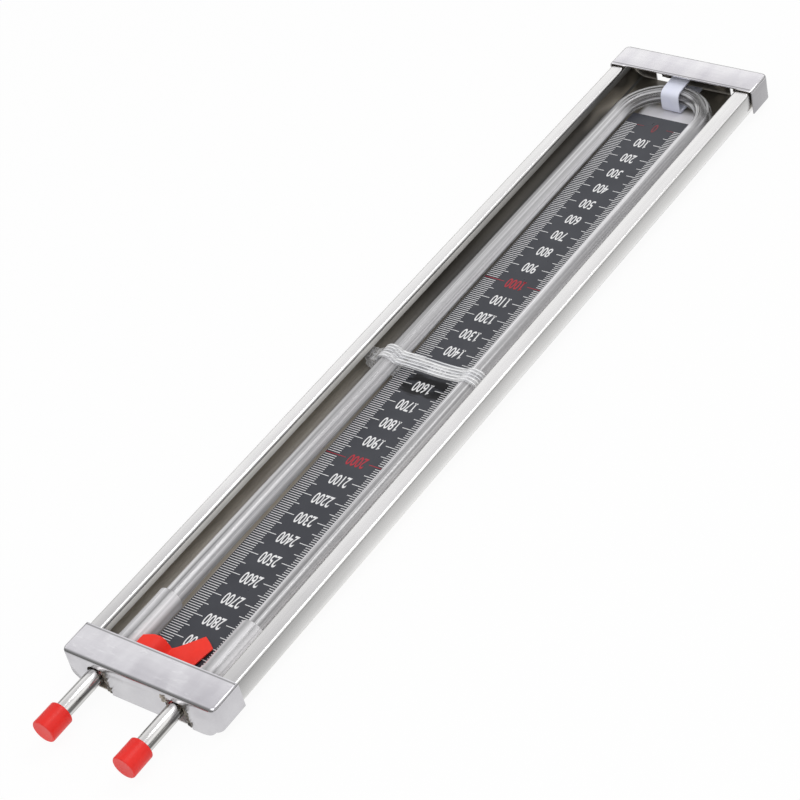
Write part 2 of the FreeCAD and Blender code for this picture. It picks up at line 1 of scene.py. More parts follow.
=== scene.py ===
"""The look of a U tube manometer: its pieces modelled in full, their finishes, the floor, the light and the camera.

Every length is in metres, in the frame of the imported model: +Y runs along the channel towards the glass bend,
+Z comes out of the open front, and the channel's back lies on z = 0.
"""

import logging
import math
from dataclasses import dataclass, replace
from enum import Enum
from typing import Callable, Optional, Sequence, Union

import bmesh
import bpy
from mathutils import Matrix, Vector


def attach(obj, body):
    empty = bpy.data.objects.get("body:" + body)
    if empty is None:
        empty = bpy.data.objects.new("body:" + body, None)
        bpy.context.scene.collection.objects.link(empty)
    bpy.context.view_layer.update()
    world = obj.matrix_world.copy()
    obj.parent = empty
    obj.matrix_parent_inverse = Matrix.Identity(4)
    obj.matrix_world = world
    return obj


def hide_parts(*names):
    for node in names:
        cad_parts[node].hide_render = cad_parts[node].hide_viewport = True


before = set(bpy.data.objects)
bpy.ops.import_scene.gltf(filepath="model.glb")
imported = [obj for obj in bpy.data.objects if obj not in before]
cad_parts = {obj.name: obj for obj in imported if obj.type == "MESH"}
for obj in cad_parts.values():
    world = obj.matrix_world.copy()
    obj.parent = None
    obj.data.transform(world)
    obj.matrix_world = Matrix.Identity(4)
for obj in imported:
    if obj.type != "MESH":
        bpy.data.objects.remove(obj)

LOG = logging.getLogger("manometer")
MM = 0.001
Colour = tuple[float, float, float]
Spot = tuple[float, float, float]
Feed = Union[float, Sequence[float], bpy.types.NodeSocket]
BLACK: Colour = (0.0, 0.0, 0.0)
WHITE: Colour = (1.0, 1.0, 1.0)
EVEN: Spot = (1.0, 1.0, 1.0)


class Slot(Enum):
    """The record's material slots."""

    CHANNEL = "folded_steel"
    CAP = "cap_steel"
    GLASS = "clear_glass"
    HOSE = "clear_hose"
    PIPE = "polished_pipe"
    PLUG = "red_plug"
    PRINT = "scale_print"
    FOAM = "white_foam"
    BAND = "clear_band"
    STRAP = "white_strap"
    FILM = "red_film"


class Picked(Enum):
    """What an edit mode selection is made of."""

    VERTS = "VERT"
    EDGES = "EDGE"
    FACES = "FACE"


class Side(Enum):
    """The two sides of the channel, seen from its open front with the bend at the top."""

    LEFT = -1
    RIGHT = 1


@dataclass(frozen=True)
class TubePlane:
    """The plane of the glass and the pipes: level across, falling a little towards the bend."""

    limb_x: float = 17.4 * MM
    left_shift: float = 1.4 * MM
    right_shift: float = 2.5 * MM
    open_y: float = -147.5 * MM
    open_z: float = 7.6 * MM
    bend_y: float = 160.4 * MM
    bend_z: float = 6.4 * MM

    @property
    def length(self) -> float:
        """The straight limbs' length."""
        return math.hypot(self.bend_y - self.open_y, self.open_z - self.bend_z)

    @property
    def angle(self) -> float:
        """The turn about X that lays a level piece in this plane."""
        return -math.atan2(self.open_z - self.bend_z, self.bend_y - self.open_y)

    def shift(self, side: Side) -> float:
        """How far to the left of its limb a side's pipe lies."""
        return self.left_shift if side is Side.LEFT else self.right_shift

    def pipe_x(self, side: Side) -> float:
        """Where a side's pipe lies across."""
        return self.limb_x * side.value - self.shift(side)

    def carry(self, piece: bpy.types.Object) -> None:
        """Lay a piece in the plane, with its origin midway between the limbs' open ends."""
        lean(piece, self.angle, (0.0, self.open_y, self.open_z))


PLANE = TubePlane()


# Finishes


# How much of X, and of Z, goes into the place across a tube that its gleams and shades follow.
GLEAM_X = 0.385
GLEAM_Z = 0.319


class Nodes:
    """A node tree, written one node per call."""

    def __init__(self, tree: bpy.types.NodeTree) -> None:
        """Start with an empty tree.

        Args:
            tree: the tree of a material or of the world.
        """
        self.tree = tree
        self.tree.nodes.clear()

    def feed(self, socket: bpy.types.NodeSocket, value: Feed) -> None:
        """Set a socket to a number or colour, or link another node's output to it."""
        if isinstance(value, bpy.types.NodeSocket):
            self.tree.links.new(value, socket)
        elif isinstance(value, (tuple, list)) and len(value) == 3 and socket.type == "RGBA":
            socket.default_value = (*value, 1.0)
        else:
            socket.default_value = value

    def node(self, kind: str, feeds: dict[Union[str, int], Feed], **settings: object) -> bpy.types.Node:
        """Add a node.

        Args:
            kind: the node's type name.
            feeds: what goes into each of its inputs, by name or number.
            settings: its own options.

        Returns:
            The node.
        """
        made = self.tree.nodes.new(kind)
        for name, value in settings.items():
            setattr(made, name, value)
        for name, value in feeds.items():
            self.feed(made.inputs[name], value)
        return made

    def ramp(self, source: Feed, stops: Sequence[tuple[float, Colour]]) -> bpy.types.NodeSocket:
        """Turn a pattern into colours at the given stops."""
        made = self.node("ShaderNodeValToRGB", {"Fac": source})
        points = made.color_ramp.elements
        while len(points) < len(stops):
            points.new(0.5)
        for point, (where, colour) in zip(points, stops):
            point.position = where
            point.color = (*colour, 1.0)
        return made.outputs["Color"]

    def combine(self, how: str, *values: Feed) -> bpy.types.NodeSocket:
        """Work out a number from one or two others by a named operation."""
        return self.node("ShaderNodeMath", dict(enumerate(values)), operation=how).outputs[0]

    def add(self, one: Feed, other: Feed) -> bpy.types.NodeSocket:
        """The sum of two numbers."""
        return self.combine("ADD", one, other)

    def less(self, one: Feed, other: Feed) -> bpy.types.NodeSocket:
        """One number less another."""
        return self.combine("SUBTRACT", one, other)

    def times(self, one: Feed, other: Feed) -> bpy.types.NodeSocket:
        """The product of two numbers."""
        return self.combine("MULTIPLY", one, other)

    def larger(self, one: Feed, other: Feed) -> bpy.types.NodeSocket:
        """The larger of two numbers."""
        return self.combine("MAXIMUM", one, other)

    def mix(self, share: Feed, one: bpy.types.Node, other: bpy.types.Node) -> bpy.types.Node:
        """Mix two shaders by a share."""
        return self.node("ShaderNodeMixShader", {0: share, 1: one.outputs[0], 2: other.outputs[0]})


class Recipe(Nodes):
    """A material with one Principled shader."""

    def __init__(self, name: str) -> None:
        """Start the material.

        Args:
            name: the material's name.
        """
        self.material = bpy.data.materials.new(name)
        self.material.use_nodes = True
        super().__init__(self.material.node_tree)
        self.shader = self.node("ShaderNodeBsdfPrincipled", {})
        self.node("ShaderNodeOutputMaterial", {"Surface": self.shader.outputs[0]})

    def surface(self, **values: Feed) -> None:
        """Feed the shader's own inputs, with underscores for the spaces in their names."""
        for name, value in values.items():
            self.feed(self.shader.inputs[name.replace("_", " ")], value)

    def place(self, stretch: Spot = EVEN, own: str = "") -> bpy.types.NodeSocket:
        """Object coordinates, or the piece's own attribute of that name, scaled along each axis."""
        if own:
            spot = self.node("ShaderNodeAttribute", {}, attribute_name=own).outputs["Vector"]
        else:
            spot = self.node("ShaderNodeTexCoord", {}).outputs["Object"]
        return self.node("ShaderNodeMapping", {"Vector": spot, "Scale": stretch}).outputs[0]

    def noise(
        self, scale: float, stretch: Spot = EVEN, detail: float = 3.0, own: str = "",
    ) -> bpy.types.NodeSocket:
        """A noise pattern on the object's own coordinates.

        Args:
            scale: patches per metre.
            stretch: how the pattern is scaled along each axis.
            detail: how many finer layers it has.
            own: an attribute of the piece that is read in place of its coordinates.

        Returns:
            The pattern, from 0 to 1.
        """
        spot = self.place(stretch, own)
        made = self.node("ShaderNodeTexNoise", {"Vector": spot, "Scale": scale, "Detail": detail})
        return made.outputs["Fac"]

    def between(self, source: Feed, low: float, high: float) -> bpy.types.NodeSocket:
        """Stretch a 0 to 1 pattern to run from one number to another."""
        made = self.node("ShaderNodeMapRange", {"Value": source, "To Min": low, "To Max": high})
        return made.outputs["Result"]

    def range(self, source: Feed, start: float, end: float, low: float = 0.0, high: float = 1.0) -> bpy.types.NodeSocket:
        """Turn what lies between start and end into low to high, and hold it there outside them."""
        feeds = {"Value": source, "From Min": start, "From Max": end, "To Min": low, "To Max": high}
        return self.node("ShaderNodeMapRange", feeds).outputs["Result"]

    def axis(self, name: str) -> bpy.types.NodeSocket:
        """One of the object's own coordinates, X, Y or Z."""
        spot = self.node("ShaderNodeTexCoord", {}).outputs["Object"]
        return self.node("ShaderNodeSeparateXYZ", {"Vector": spot}).outputs[name]

    def near_line(
        self, one: Feed, one_at: float, other: Feed, other_at: float, inner: float, outer: float,
    ) -> bpy.types.NodeSocket:
        """How near a point lies to a line along the third axis.

        Args:
            one: the point's place along one axis.
            one_at: the line's place along it.
            other: the point's place along another axis.
            other_at: the line's place along it.
            inner: the distance within which the result is 1.
            outer: the distance past which it is 0.

        Returns:
            The nearness, from 0 to 1.
        """
        aside = self.less(one, one_at)
        above = self.less(other, other_at)
        square = self.add(self.times(aside, aside), self.times(above, above))
        return self.range(self.combine("SQRT", square), outer, inner)

    def facing(self) -> bpy.types.NodeSocket:
        """How far a clear surface turns its edge to the eye, from 0 to 1."""
        return self.node("ShaderNodeLayerWeight", {"Blend": 0.5}).outputs["Facing"]

    def blend(self, share: Feed, one: Feed, other: Feed) -> bpy.types.NodeSocket:
        """Mix two colours by a share."""
        made = self.node("ShaderNodeMixRGB", {"Fac": share, "Color1": one, "Color2": other})
        return made.outputs["Color"]

    def darken(self, share: Feed, colour: Feed) -> bpy.types.NodeSocket:
        """Darken a colour by a share."""
        return self.blend(share, colour, BLACK)

    def bump(self, height: Feed, depth: float) -> None:
        """Raise the surface by a pattern, to a depth in metres."""
        made = self.node("ShaderNodeBump", {"Height": height, "Distance": depth, "Strength": 1.0})
        self.feed(self.shader.inputs["Normal"], made.outputs[0])


@dataclass(frozen=True)
class DarkLine:
    """A line of painted shade along a fold or an edge: its place along X or Y, its height, its reach and its share of
    dark.
    """

    axis: str
    at: float
    height: float
    inner: float
    outer: float
    share: float = 1.0


@dataclass(frozen=True)
class SteelFinish:
    """Stainless steel sheet or tube, with its rolling grain, soft mottling and fine scratches, and where set, painted
    shade: on the side walls, in lines along folds and edges, towards the near or far end, and across a pipe.
    """

    name: str
    light: Colour
    dark: Colour
    smooth: float
    rough: float
    grain: Spot = (900.0, 12.0, 900.0)
    mottle: float = 160.0
    scratch_depth: float = 0.00001
    dent_depth: float = 0.00003
    brush: float = 0.3
    # Below the top fold at wall_top, the side walls get painted shade.
    wall_top: float = 0.0
    wall_tone: float = 1.0
    wall_even: float = 0.0
    lines: Sequence[DarkLine] = ()
    line_tone: Colour = (0.20, 0.20, 0.20)
    scuffs: float = 0.0
    metal: float = 1.0
    far_dim: float = 0.0
    near_dim: float = 0.0
    tone_low: float = 0.25
    tone_high: float = 0.75
    pipe_at: Optional[tuple[float, float, float]] = None
    pipe_dark: Colour = (0.02, 0.018, 0.015)

    def build(self) -> bpy.types.Material:
        """Make the material.

        Returns:
            The steel, with its grain running along Y.
        """
        recipe = Recipe(self.name)
        grain = recipe.noise(1.0, self.grain, 4.0)
        patches = recipe.noise(self.mottle, (1.0, 0.35, 1.0), 4.0)
        tone = recipe.add(recipe.between(grain, -self.brush, self.brush), recipe.between(patches, 0.1, 0.9))
        colour = recipe.ramp(tone, [(self.tone_low, self.dark), (self.tone_high, self.light)])
        # Painted shade on the side walls below their top fold.
        if self.wall_top:
            colour = self.walled(recipe, colour)
        if self.pipe_at:
            colour = recipe.blend(self.pipe_shade(recipe, *self.pipe_at), colour, self.pipe_dark)
        if self.scuffs:
            marks = recipe.range(recipe.noise(1.0, (240.0, 900.0, 240.0), 4.0), 0.58, 0.66, 0.0, self.scuffs)
            on_face = recipe.range(recipe.axis("Z"), self.wall_top, self.wall_top + 0.5 * MM)
            colour = recipe.blend(recipe.times(marks, on_face), colour, (0.99, 0.99, 1.0))
        # Painted shade, darker towards the far end.
        if self.far_dim:
            colour = recipe.darken(recipe.range(recipe.axis("Y"), 60.0 * MM, 160.0 * MM, 0.0, self.far_dim), colour)
        # Painted shade, darker towards the near end.
        if self.near_dim:
            colour = recipe.darken(recipe.range(recipe.axis("Y"), -80.0 * MM, -150.0 * MM, 0.0, self.near_dim), colour)
        # Painted shade in lines along folds and edges.
        for line in self.lines:
            colour = self.lined(recipe, line, colour)
        recipe.surface(
            Base_Color=colour,
            Metallic=self.metal,
            Roughness=recipe.between(patches, self.smooth, self.rough),
        )
        waves = recipe.noise(55.0, (1.0, 0.5, 1.0), 2.0)
        recipe.bump(recipe.add(recipe.times(waves, self.dent_depth), recipe.times(grain, self.scratch_depth)), 1.0)
        return recipe.material

    def lined(self, recipe: Recipe, line: DarkLine, colour: bpy.types.NodeSocket) -> bpy.types.NodeSocket:
        """Paint shade on the steel along a line.

        Args:
            recipe: the material in the making.
            line: the line. Where it has a place along X, both sides of the piece get it.
            colour: the steel's colour.

        Returns:
            The colour with the line.
        """
        place = recipe.axis(line.axis)
        if line.axis == "X":
            place = recipe.combine("ABSOLUTE", place)
        near = recipe.near_line(place, line.at, recipe.axis("Z"), line.height, line.inner, line.outer)
        return recipe.blend(recipe.times(near, line.share), colour, self.line_tone)

    @staticmethod
    def pipe_shade(recipe: Recipe, middle: float, height: float, radius: float) -> bpy.types.NodeSocket:
        """How dark a pipe is: along its left edge, in a line along its lower right, and beside the cap.

        Args:
            recipe: the material in the making.
            middle: where the pipe's axis lies across.
            height: where it lies over the back.
            radius: the pipe's radius.

        Returns:
            The share of dark.
        """
        aside = recipe.range(recipe.axis("X"), middle - radius, middle + radius, -GLEAM_X, GLEAM_X)
        above = recipe.range(recipe.axis("Z"), height - radius, height + radius, -GLEAM_Z, GLEAM_Z)
        place = recipe.add(recipe.less(aside, above), 0.5)
        shares = (
            (0.0, 0.60), (0.16, 0.0), (0.58, 0.0), (0.68, 0.20), (0.75, 0.85), (0.84, 0.85), (0.90, 0.30), (1.0, 0.50),
        )
        across = recipe.ramp(place, [(where, (share, share, share)) for where, share in shares])
        beside_cap = recipe.range(recipe.axis("Y"), -170.0 * MM, -159.0 * MM, 0.0, 0.4)
        return recipe.larger(across, beside_cap)

    def walled(self, recipe: Recipe, colour: bpy.types.NodeSocket) -> bpy.types.NodeSocket:
        """Paint shade on the side walls below their top fold, less and less towards the back.

        Args:
            recipe: the material in the making.
            colour: the steel's colour.

        Returns:
            The colour with painted shade on the walls.
        """
        height = recipe.axis("Z")
        shade_share = recipe.range(height, 0.5 * MM, self.wall_top, self.wall_even, 1.0 - self.wall_tone)
        below = recipe.range(height, self.wall_top + 0.5 * MM, self.wall_top)
        return recipe.darken(recipe.times(shade_share, below), colour)


@dataclass(frozen=True)
class InnerSteelFinish:
    """The inside of the steel, dark and brownish in painted shade, brighter with a painted reflection in the middle
    past the plate's far end, with painted light beside the plate and painted glints far in.
    """

    name: str
    light: Colour
    dark: Colour
    bright: Colour
    rough: float = 0.34
    metal: float = 0.35
    bright_half: float = 15.0 * MM
    bright_start: float = 158.0 * MM
    bright_end: float = 177.0 * MM
    slot_half: float = 17.4 * MM
    slot_share: float = 0.7
    middle_dim: float = 0.74
    floor_dim: float = 0.90
    gleam: float = 0.55

    def build(self) -> bpy.types.Material:
        """Make the material."""
        recipe = Recipe(self.name)
        tone = recipe.noise(90.0, (1.0, 0.2, 1.0), 4.0)
        across = recipe.combine("ABSOLUTE", recipe.axis("X"))
        along = recipe.axis("Y")
        # A painted reflection on the floor past the plate's far end, under the bend.
        inner = recipe.range(across, self.bright_half, self.bright_half - 2.0 * MM)
        after = recipe.range(along, self.bright_start, self.bright_start + 2.0 * MM)
        before = recipe.range(along, self.bright_end, self.bright_end - 4.0 * MM)
        patch = recipe.times(recipe.times(inner, after), before)
        # Painted light in the shadowed slot beside the plate.
        beside = recipe.range(across, self.slot_half, self.slot_half - 1.5 * MM, 0.0, self.slot_share)
        slot = recipe.times(beside, recipe.range(along, self.bright_start, self.bright_start - 4.0 * MM))
        share = recipe.larger(patch, slot)
        plain = recipe.ramp(tone, [(0.35, self.dark), (0.7, self.light)])
        # Painted shade, deeper from the middle on, lifted by painted glints far in.
        dim = recipe.range(along, -60.0 * MM, 40.0 * MM, 0.0, self.middle_dim)
        deep = recipe.range(along, 120.0 * MM, 165.0 * MM)
        gleams = recipe.range(recipe.noise(1.0, (95.0, 38.0, 95.0), 1.0), 0.54, 0.62, 0.0, -self.gleam)
        dim = recipe.add(dim, recipe.times(deep, gleams))
        # Painted shade on the left floor between the wall's corner and the limb, to even out its light.
        beyond = recipe.range(recipe.axis("X"), -30.0 * MM, -26.3 * MM, 0.0, self.floor_dim)
        beyond = recipe.times(beyond, recipe.range(recipe.axis("X"), -19.0 * MM, -22.0 * MM))
        beyond = recipe.times(beyond, recipe.range(along, 172.0 * MM, 160.0 * MM))
        colour = recipe.darken(dim, recipe.darken(beyond, plain))
        recipe.surface(
            Base_Color=recipe.blend(share, colour, self.bright),
            Metallic=recipe.between(share, self.metal, 0.0),
            Roughness=self.rough,
        )
        recipe.bump(recipe.noise(120.0, (1.0, 0.3, 1.0), 2.0), 0.00004)
        return recipe.material


@dataclass(frozen=True)
class TubeTones:
    """The gleams and shades of one clear tube from its left edge, 0, to its right edge, 1, near and far along it."""

    near: Sequence[tuple[float, float]]
    far: Sequence[tuple[float, float]]


@dataclass(frozen=True)
class ClearTubeFinish:
    """Clear tube with painted gleams and shades along it, and in its bend a painted dark line inside each painted white
    edge.
    """

    name: str
    white: Colour
    light: Colour
    dark: Colour
    line: Colour
    face_cover: float
    edge_cover: float
    rough: float
    fineness: float
    left: TubeTones
    right: TubeTones
    radius: float
    own: str = ""
    bend_contrast: float = 0.0
    bend_cover: float = 1.0
    clearer: float = 0.12
    dim_before: float = -1.0
    dim_tone: Colour = (0.03, 0.028, 0.025)
    deep_tone: Colour = (0.06, 0.058, 0.055)

    def build(self) -> bpy.types.Material:
        """Make the material."""
        recipe = Recipe(self.name)
        broad = recipe.noise(1.0, (self.fineness, 4.0, self.fineness), 2.0, self.own)
        fine = recipe.noise(1.0, (self.fineness * 2.6, 12.0, self.fineness * 2.6), 2.0, self.own)
        streaks = recipe.add(recipe.between(broad, 0.0, 0.7), recipe.between(fine, 0.0, 0.3))
        facing = recipe.facing()
        along = recipe.axis("Y")
        bend = recipe.range(along, 156.0 * MM, 166.0 * MM)
        colour = recipe.blend(bend, self.straight(recipe, streaks), self.bent(recipe, facing))
        # Painted shade on the end that runs in under the near cap.
        dim = recipe.range(along, self.dim_before, self.dim_before - 1.0 * MM)
        colour = recipe.blend(dim, colour, self.dim_tone)
        cover = recipe.range(facing, 0.16, 0.5, self.face_cover, self.edge_cover)
        cover = recipe.times(cover, recipe.between(bend, 1.0, self.bend_cover))
        uneven = recipe.add(cover, recipe.range(streaks, 0.36, 0.60, -self.clearer, self.clearer))
        recipe.surface(Base_Color=colour, Alpha=recipe.larger(uneven, 0.04), Roughness=self.rough, IOR=1.5)
        return recipe.material

    def bent(self, recipe: Recipe, facing: bpy.types.NodeSocket) -> bpy.types.NodeSocket:
        """The painted reflections and shades in the bend, from broad streaks and from how far the surface turns its
        edge to the eye.
        """
        streaks = recipe.noise(1.0, (self.fineness * 0.5, 6.0, self.fineness * 0.5), 1.0, self.own)
        body = recipe.ramp(streaks, [
            (0.36, self.dark), (0.44, self.light), (0.49, self.light), (0.505, self.white), (0.525, self.light),
            (0.565, self.dark), (0.58, self.light), (0.64, self.white),
        ])
        lined = recipe.blend(recipe.range(facing, 0.30, 0.37, 0.0, 0.8), body, self.line)
        colour = recipe.blend(recipe.range(facing, 0.43, 0.50), lined, self.white)
        deep = recipe.larger(recipe.range(streaks, 0.50, 0.44), recipe.range(streaks, 0.53, 0.57))
        return recipe.blend(recipe.times(deep, self.bend_contrast), colour, self.deep_tone)

    def straight(self, recipe: Recipe, streaks: bpy.types.NodeSocket) -> bpy.types.NodeSocket:
        """The painted gleams and shades of the straight limbs, from the place across each of them.

        Args:
            recipe: the material in the making.
            streaks: the fine streaks that make it uneven.

        Returns:
            The colour.
        """
        side = recipe.combine("SIGN", recipe.axis("X"))
        along = recipe.axis("Y")
        aside = recipe.less(recipe.axis("X"), recipe.times(side, PLANE.limb_x))
        middle = recipe.range(along, PLANE.open_y, PLANE.bend_y, PLANE.open_z, PLANE.bend_z)
        above = recipe.less(recipe.axis("Z"), middle)
        across = recipe.less(recipe.times(aside, GLEAM_X / self.radius), recipe.times(above, GLEAM_Z / self.radius))
        sway = recipe.between(recipe.noise(1.0, (60.0, 14.0, 60.0), 2.0), 0.44, 0.56)
        place = recipe.add(across, sway)
        far = recipe.range(along, -110.0 * MM, 50.0 * MM)
        sides = [
            recipe.blend(far, self.toned(recipe, place, tones.near), self.toned(recipe, place, tones.far))
            for tones in (self.left, self.right)
        ]
        colour = recipe.blend(recipe.range(side, -0.5, 0.5), *sides)
        # Painted shade and painted highlights in streaks along the glass.
        worn = recipe.blend(recipe.range(streaks, 0.47, 0.40, 0.0, 0.35), colour, self.dark)
        return recipe.blend(recipe.range(streaks, 0.56, 0.62, 0.0, 0.35), worn, self.white)

    @staticmethod
    def toned(recipe: Recipe, place: bpy.types.NodeSocket, tones: Sequence[tuple[float, float]]) -> bpy.types.NodeSocket:
        """Turn the place across a tube into the faintly lilac greys of its painted gleams and shades."""
        return recipe.ramp(place, [(where, (tone * 0.99, tone * 0.98, tone)) for where, tone in tones])


@dataclass(frozen=True)
class ClearPlasticFinish:
    """Soft clear plastic: see-through where it faces the eye, whiter at its edges, with a faint haze."""

    name: str
    light: Colour
    dark: Colour
    face_cover: float
    edge_cover: float
    rough: float
    ripple: float
    stretch: Spot = (1.0, 0.4, 1.0)
    cloudy: float = 0.14
    rib: str = ""
    rib_cover: float = 0.0

    def build(self) -> bpy.types.Material:
        """Make the material."""
        recipe = Recipe(self.name)
        cloud = recipe.noise(260.0, self.stretch, 3.0)
        cover = recipe.range(recipe.facing(), 0.25, 0.95, self.face_cover, self.edge_cover)
        uneven = recipe.add(cover, recipe.range(cloud, 0.3, 0.7, -self.cloudy, self.cloudy))
        if self.rib:
            crest = recipe.node("ShaderNodeAttribute", {}, attribute_name=self.rib).outputs["Fac"]
            uneven = recipe.add(uneven, recipe.range(crest, 0.1, 0.9, 0.0, self.rib_cover))
        recipe.surface(
            Base_Color=recipe.ramp(cloud, [(0.3, self.dark), (0.7, self.light)]),
            Alpha=recipe.larger(uneven, 0.0),
            Roughness=recipe.between(cloud, self.rough * 0.6, self.rough * 1.4),
        )
        recipe.bump(recipe.noise(420.0, (1.0, 0.5, 1.0), 2.0), self.ripple)
        return recipe.material


@dataclass(frozen=True)
class SoftFinish:
    """An opaque soft piece: rubber, film, woven strap or foam."""

    name: str
    light: Colour
    dark: Colour
    rough: float
    cell: float
    relief: float
    sheen: float = 0.0
    gloss: float = 0.5

    def build(self) -> bpy.types.Material:
        """Make the material."""
        recipe = Recipe(self.name)
        broad = recipe.noise(self.cell * 0.12, detail=2.0)
        fine = recipe.noise(self.cell, detail=4.0)
        tone = recipe.add(recipe.between(broad, 0.1, 0.9), recipe.between(fine, -0.15, 0.15))
        recipe.surface(
            Base_Color=recipe.ramp(tone, [(0.3, self.dark), (0.7, self.light)]),
            Roughness=recipe.between(fine, self.rough * 0.85, self.rough * 1.15),
            Sheen_Weight=self.sheen,
            Specular_IOR_Level=self.gloss,
        )
        recipe.bump(fine, self.relief)
        return recipe.material


@dataclass(frozen=True)
class PlateFinish:
    """The scale plate's dark print under a clear varnish, darker in two ragged bands below the tie, partly a painted
    reflection of the tie.
    """

    name: str = "plate_dark_print"
    slate: Colour = (0.040, 0.042, 0.052)
    pale: Colour = (0.056, 0.059, 0.070)
    band: Colour = (0.004, 0.004, 0.005)
    smears: tuple[float, float] = (-2.4 * MM, -7.9 * MM)
    smear_half: float = 1.9 * MM
    smear_left: float = -8.0 * MM

    def build(self) -> bpy.types.Material:
        """Make the material."""
        recipe = Recipe(self.name)
        # Partly a painted reflection of the tie, in two ragged bands.
        ragged = recipe.between(recipe.noise(1.0, (160.0, 600.0, 0.0), 3.0), -3.0 * MM, 3.0 * MM)
        along = recipe.add(recipe.axis("Y"), ragged)
        distances = [recipe.combine("ABSOLUTE", recipe.less(along, band_middle)) for band_middle in self.smears]
        nearest = recipe.combine("MINIMUM", *distances)
        banded = recipe.range(nearest, self.smear_half + 0.9 * MM, self.smear_half - 0.6 * MM)
        frayed = recipe.between(recipe.noise(1.0, (60.0, 900.0, 0.0), 3.0), -6.0 * MM, 6.0 * MM)
        across = recipe.add(recipe.axis("X"), frayed)
        inside = recipe.times(banded, recipe.range(across, self.smear_left - 1.0 * MM, self.smear_left + 0.5 * MM))
        field = recipe.ramp(recipe.noise(70.0, detail=3.0), [(0.3, self.slate), (0.8, self.pale)])
        recipe.surface(
            Base_Color=recipe.blend(inside, field, self.band),
            Roughness=recipe.between(recipe.noise(300.0), 0.24, 0.36),
            Specular_IOR_Level=0.35,
        )
        recipe.bump(recipe.noise(1800.0, detail=2.0), 0.000004)
        return recipe.material


@dataclass(frozen=True)
class InkFinish:
    """Printed ink, slightly uneven, and darker over a stretch towards the far end where that is set."""

    name: str
    colour: Colour
    worn: Colour
    fade: float = 0.0
    fade_start: float = 148.0 * MM
    fade_end: float = 154.0 * MM
    fade_tone: Colour = (0.05, 0.045, 0.055)

    def build(self) -> bpy.types.Material:
        """Make the material."""
        recipe = Recipe(self.name)
        patches = recipe.noise(900.0, detail=3.0)
        darkened = recipe.range(recipe.axis("Y"), self.fade_start, self.fade_end, 0.0, self.fade)
        ink = recipe.ramp(patches, [(0.3, self.worn), (0.6, self.colour)])
        recipe.surface(
            Base_Color=recipe.blend(darkened, ink, self.fade_tone),
            Roughness=recipe.between(patches, 0.4, 0.6),
        )
        return recipe.material


# The channel's side walls get painted shade below their top fold, and its near end painted shade.
CHANNEL_STEEL = SteelFinish(
    "channel_satin_steel", light=(1.0, 0.99, 0.98), dark=(0.89, 0.885, 0.875), smooth=0.18, rough=0.30,
    wall_top=12.4 * MM, wall_tone=0.50, near_dim=0.22,
)
CAP_STEEL = SteelFinish(
    "cap_pressed_steel", light=(0.88, 0.87, 0.90), dark=(0.75, 0.735, 0.77), smooth=0.18, rough=0.30,
    grain=(60.0, 700.0, 60.0), mottle=150.0, brush=0.10, tone_low=0.36, tone_high=0.64, wall_top=13.2 * MM, scuffs=0.30,
)
INNER_PAINTED_SHADE = InnerSteelFinish(
    "inner_painted_shade_steel", light=(0.66, 0.60, 0.50), dark=(0.40, 0.355, 0.295), bright=(0.78, 0.77, 0.80),
)
# The lips' turned down edges: a lighter, unmetallic copy of the steel as painted light, with painted shade towards the
# far end.
RETURN_PAINTED_LIGHT = SteelFinish(
    "return_painted_light_steel", light=(0.98, 0.96, 0.93), dark=(0.78, 0.76, 0.73), smooth=0.3, rough=0.4, metal=0.0, far_dim=0.85,
)
# The torn tabs: a near black copy of the steel as painted shade in the notches, a lighter beige copy as painted light,
# and a brownish copy as painted shade inside the far cap.
TAB_PAINTED_SHADE = SteelFinish(
    "tab_painted_shade_steel", light=(0.24, 0.215, 0.18), dark=(0.03, 0.026, 0.02), smooth=0.35, rough=0.5,
    grain=(500.0, 500.0, 500.0), mottle=700.0, metal=0.2, tone_low=0.38, tone_high=0.62,
)
TAB_PAINTED_LIGHT = replace(TAB_PAINTED_SHADE, name="tab_painted_light_steel", light=(0.60, 0.56, 0.48), dark=(0.26, 0.235, 0.195))
INSIDE_TAB_SHADE = replace(TAB_PAINTED_SHADE, name="inside_tab_painted_shade_steel", light=(0.42, 0.39, 0.35), dark=(0.10, 0.09, 0.08), metal=0.7)
PIPE_STEEL = SteelFinish(
    "pipe_polished_steel", light=(0.97, 0.96, 0.94), dark=(0.88, 0.87, 0.85), smooth=0.15, rough=0.21,
    grain=(500.0, 40.0, 500.0), dent_depth=0.0, scratch_depth=0.0,
)
LEFT_LIMB = TubeTones(
    near=((0.0, 0.25), (0.10, 0.90), (0.25, 0.30), (0.48, 1.0), (0.60, 0.55), (0.70, 0.85), (0.90, 0.35), (1.0, 0.60)),
    far=((0.0, 0.10), (0.25, 0.45), (0.42, 0.70), (0.50, 0.50), (0.85, 1.0), (0.92, 1.0), (0.96, 0.40)),
)
RIGHT_LIMB = TubeTones(
    near=((0.0, 0.70), (0.03, 1.0), (0.12, 0.45), (0.27, 0.30), (0.40, 0.70), (0.54, 0.35), (0.64, 0.70), (0.80, 1.0)),
    far=((0.0, 0.80), (0.06, 1.0), (0.20, 0.55), (0.45, 0.45), (0.62, 0.60), (0.74, 1.0)),
)
TUBE_GLASS = ClearTubeFinish(
    "tube_clear_glass", white=(0.99, 0.99, 1.0), light=(0.66, 0.65, 0.68), dark=(0.30, 0.295, 0.31),
    line=(0.16, 0.16, 0.165), face_cover=0.70, edge_cover=0.95, rough=0.05, fineness=900.0, left=LEFT_LIMB,
    right=RIGHT_LIMB, radius=3.5 * MM, own="round_tube", bend_contrast=0.9, bend_cover=0.55, clearer=0.2,
)
LEFT_HOSE = ((0.0, 0.60), (0.15, 1.0), (0.30, 0.30), (0.48, 1.0), (0.56, 0.80), (0.62, 1.0), (0.80, 0.45), (1.0, 0.65))
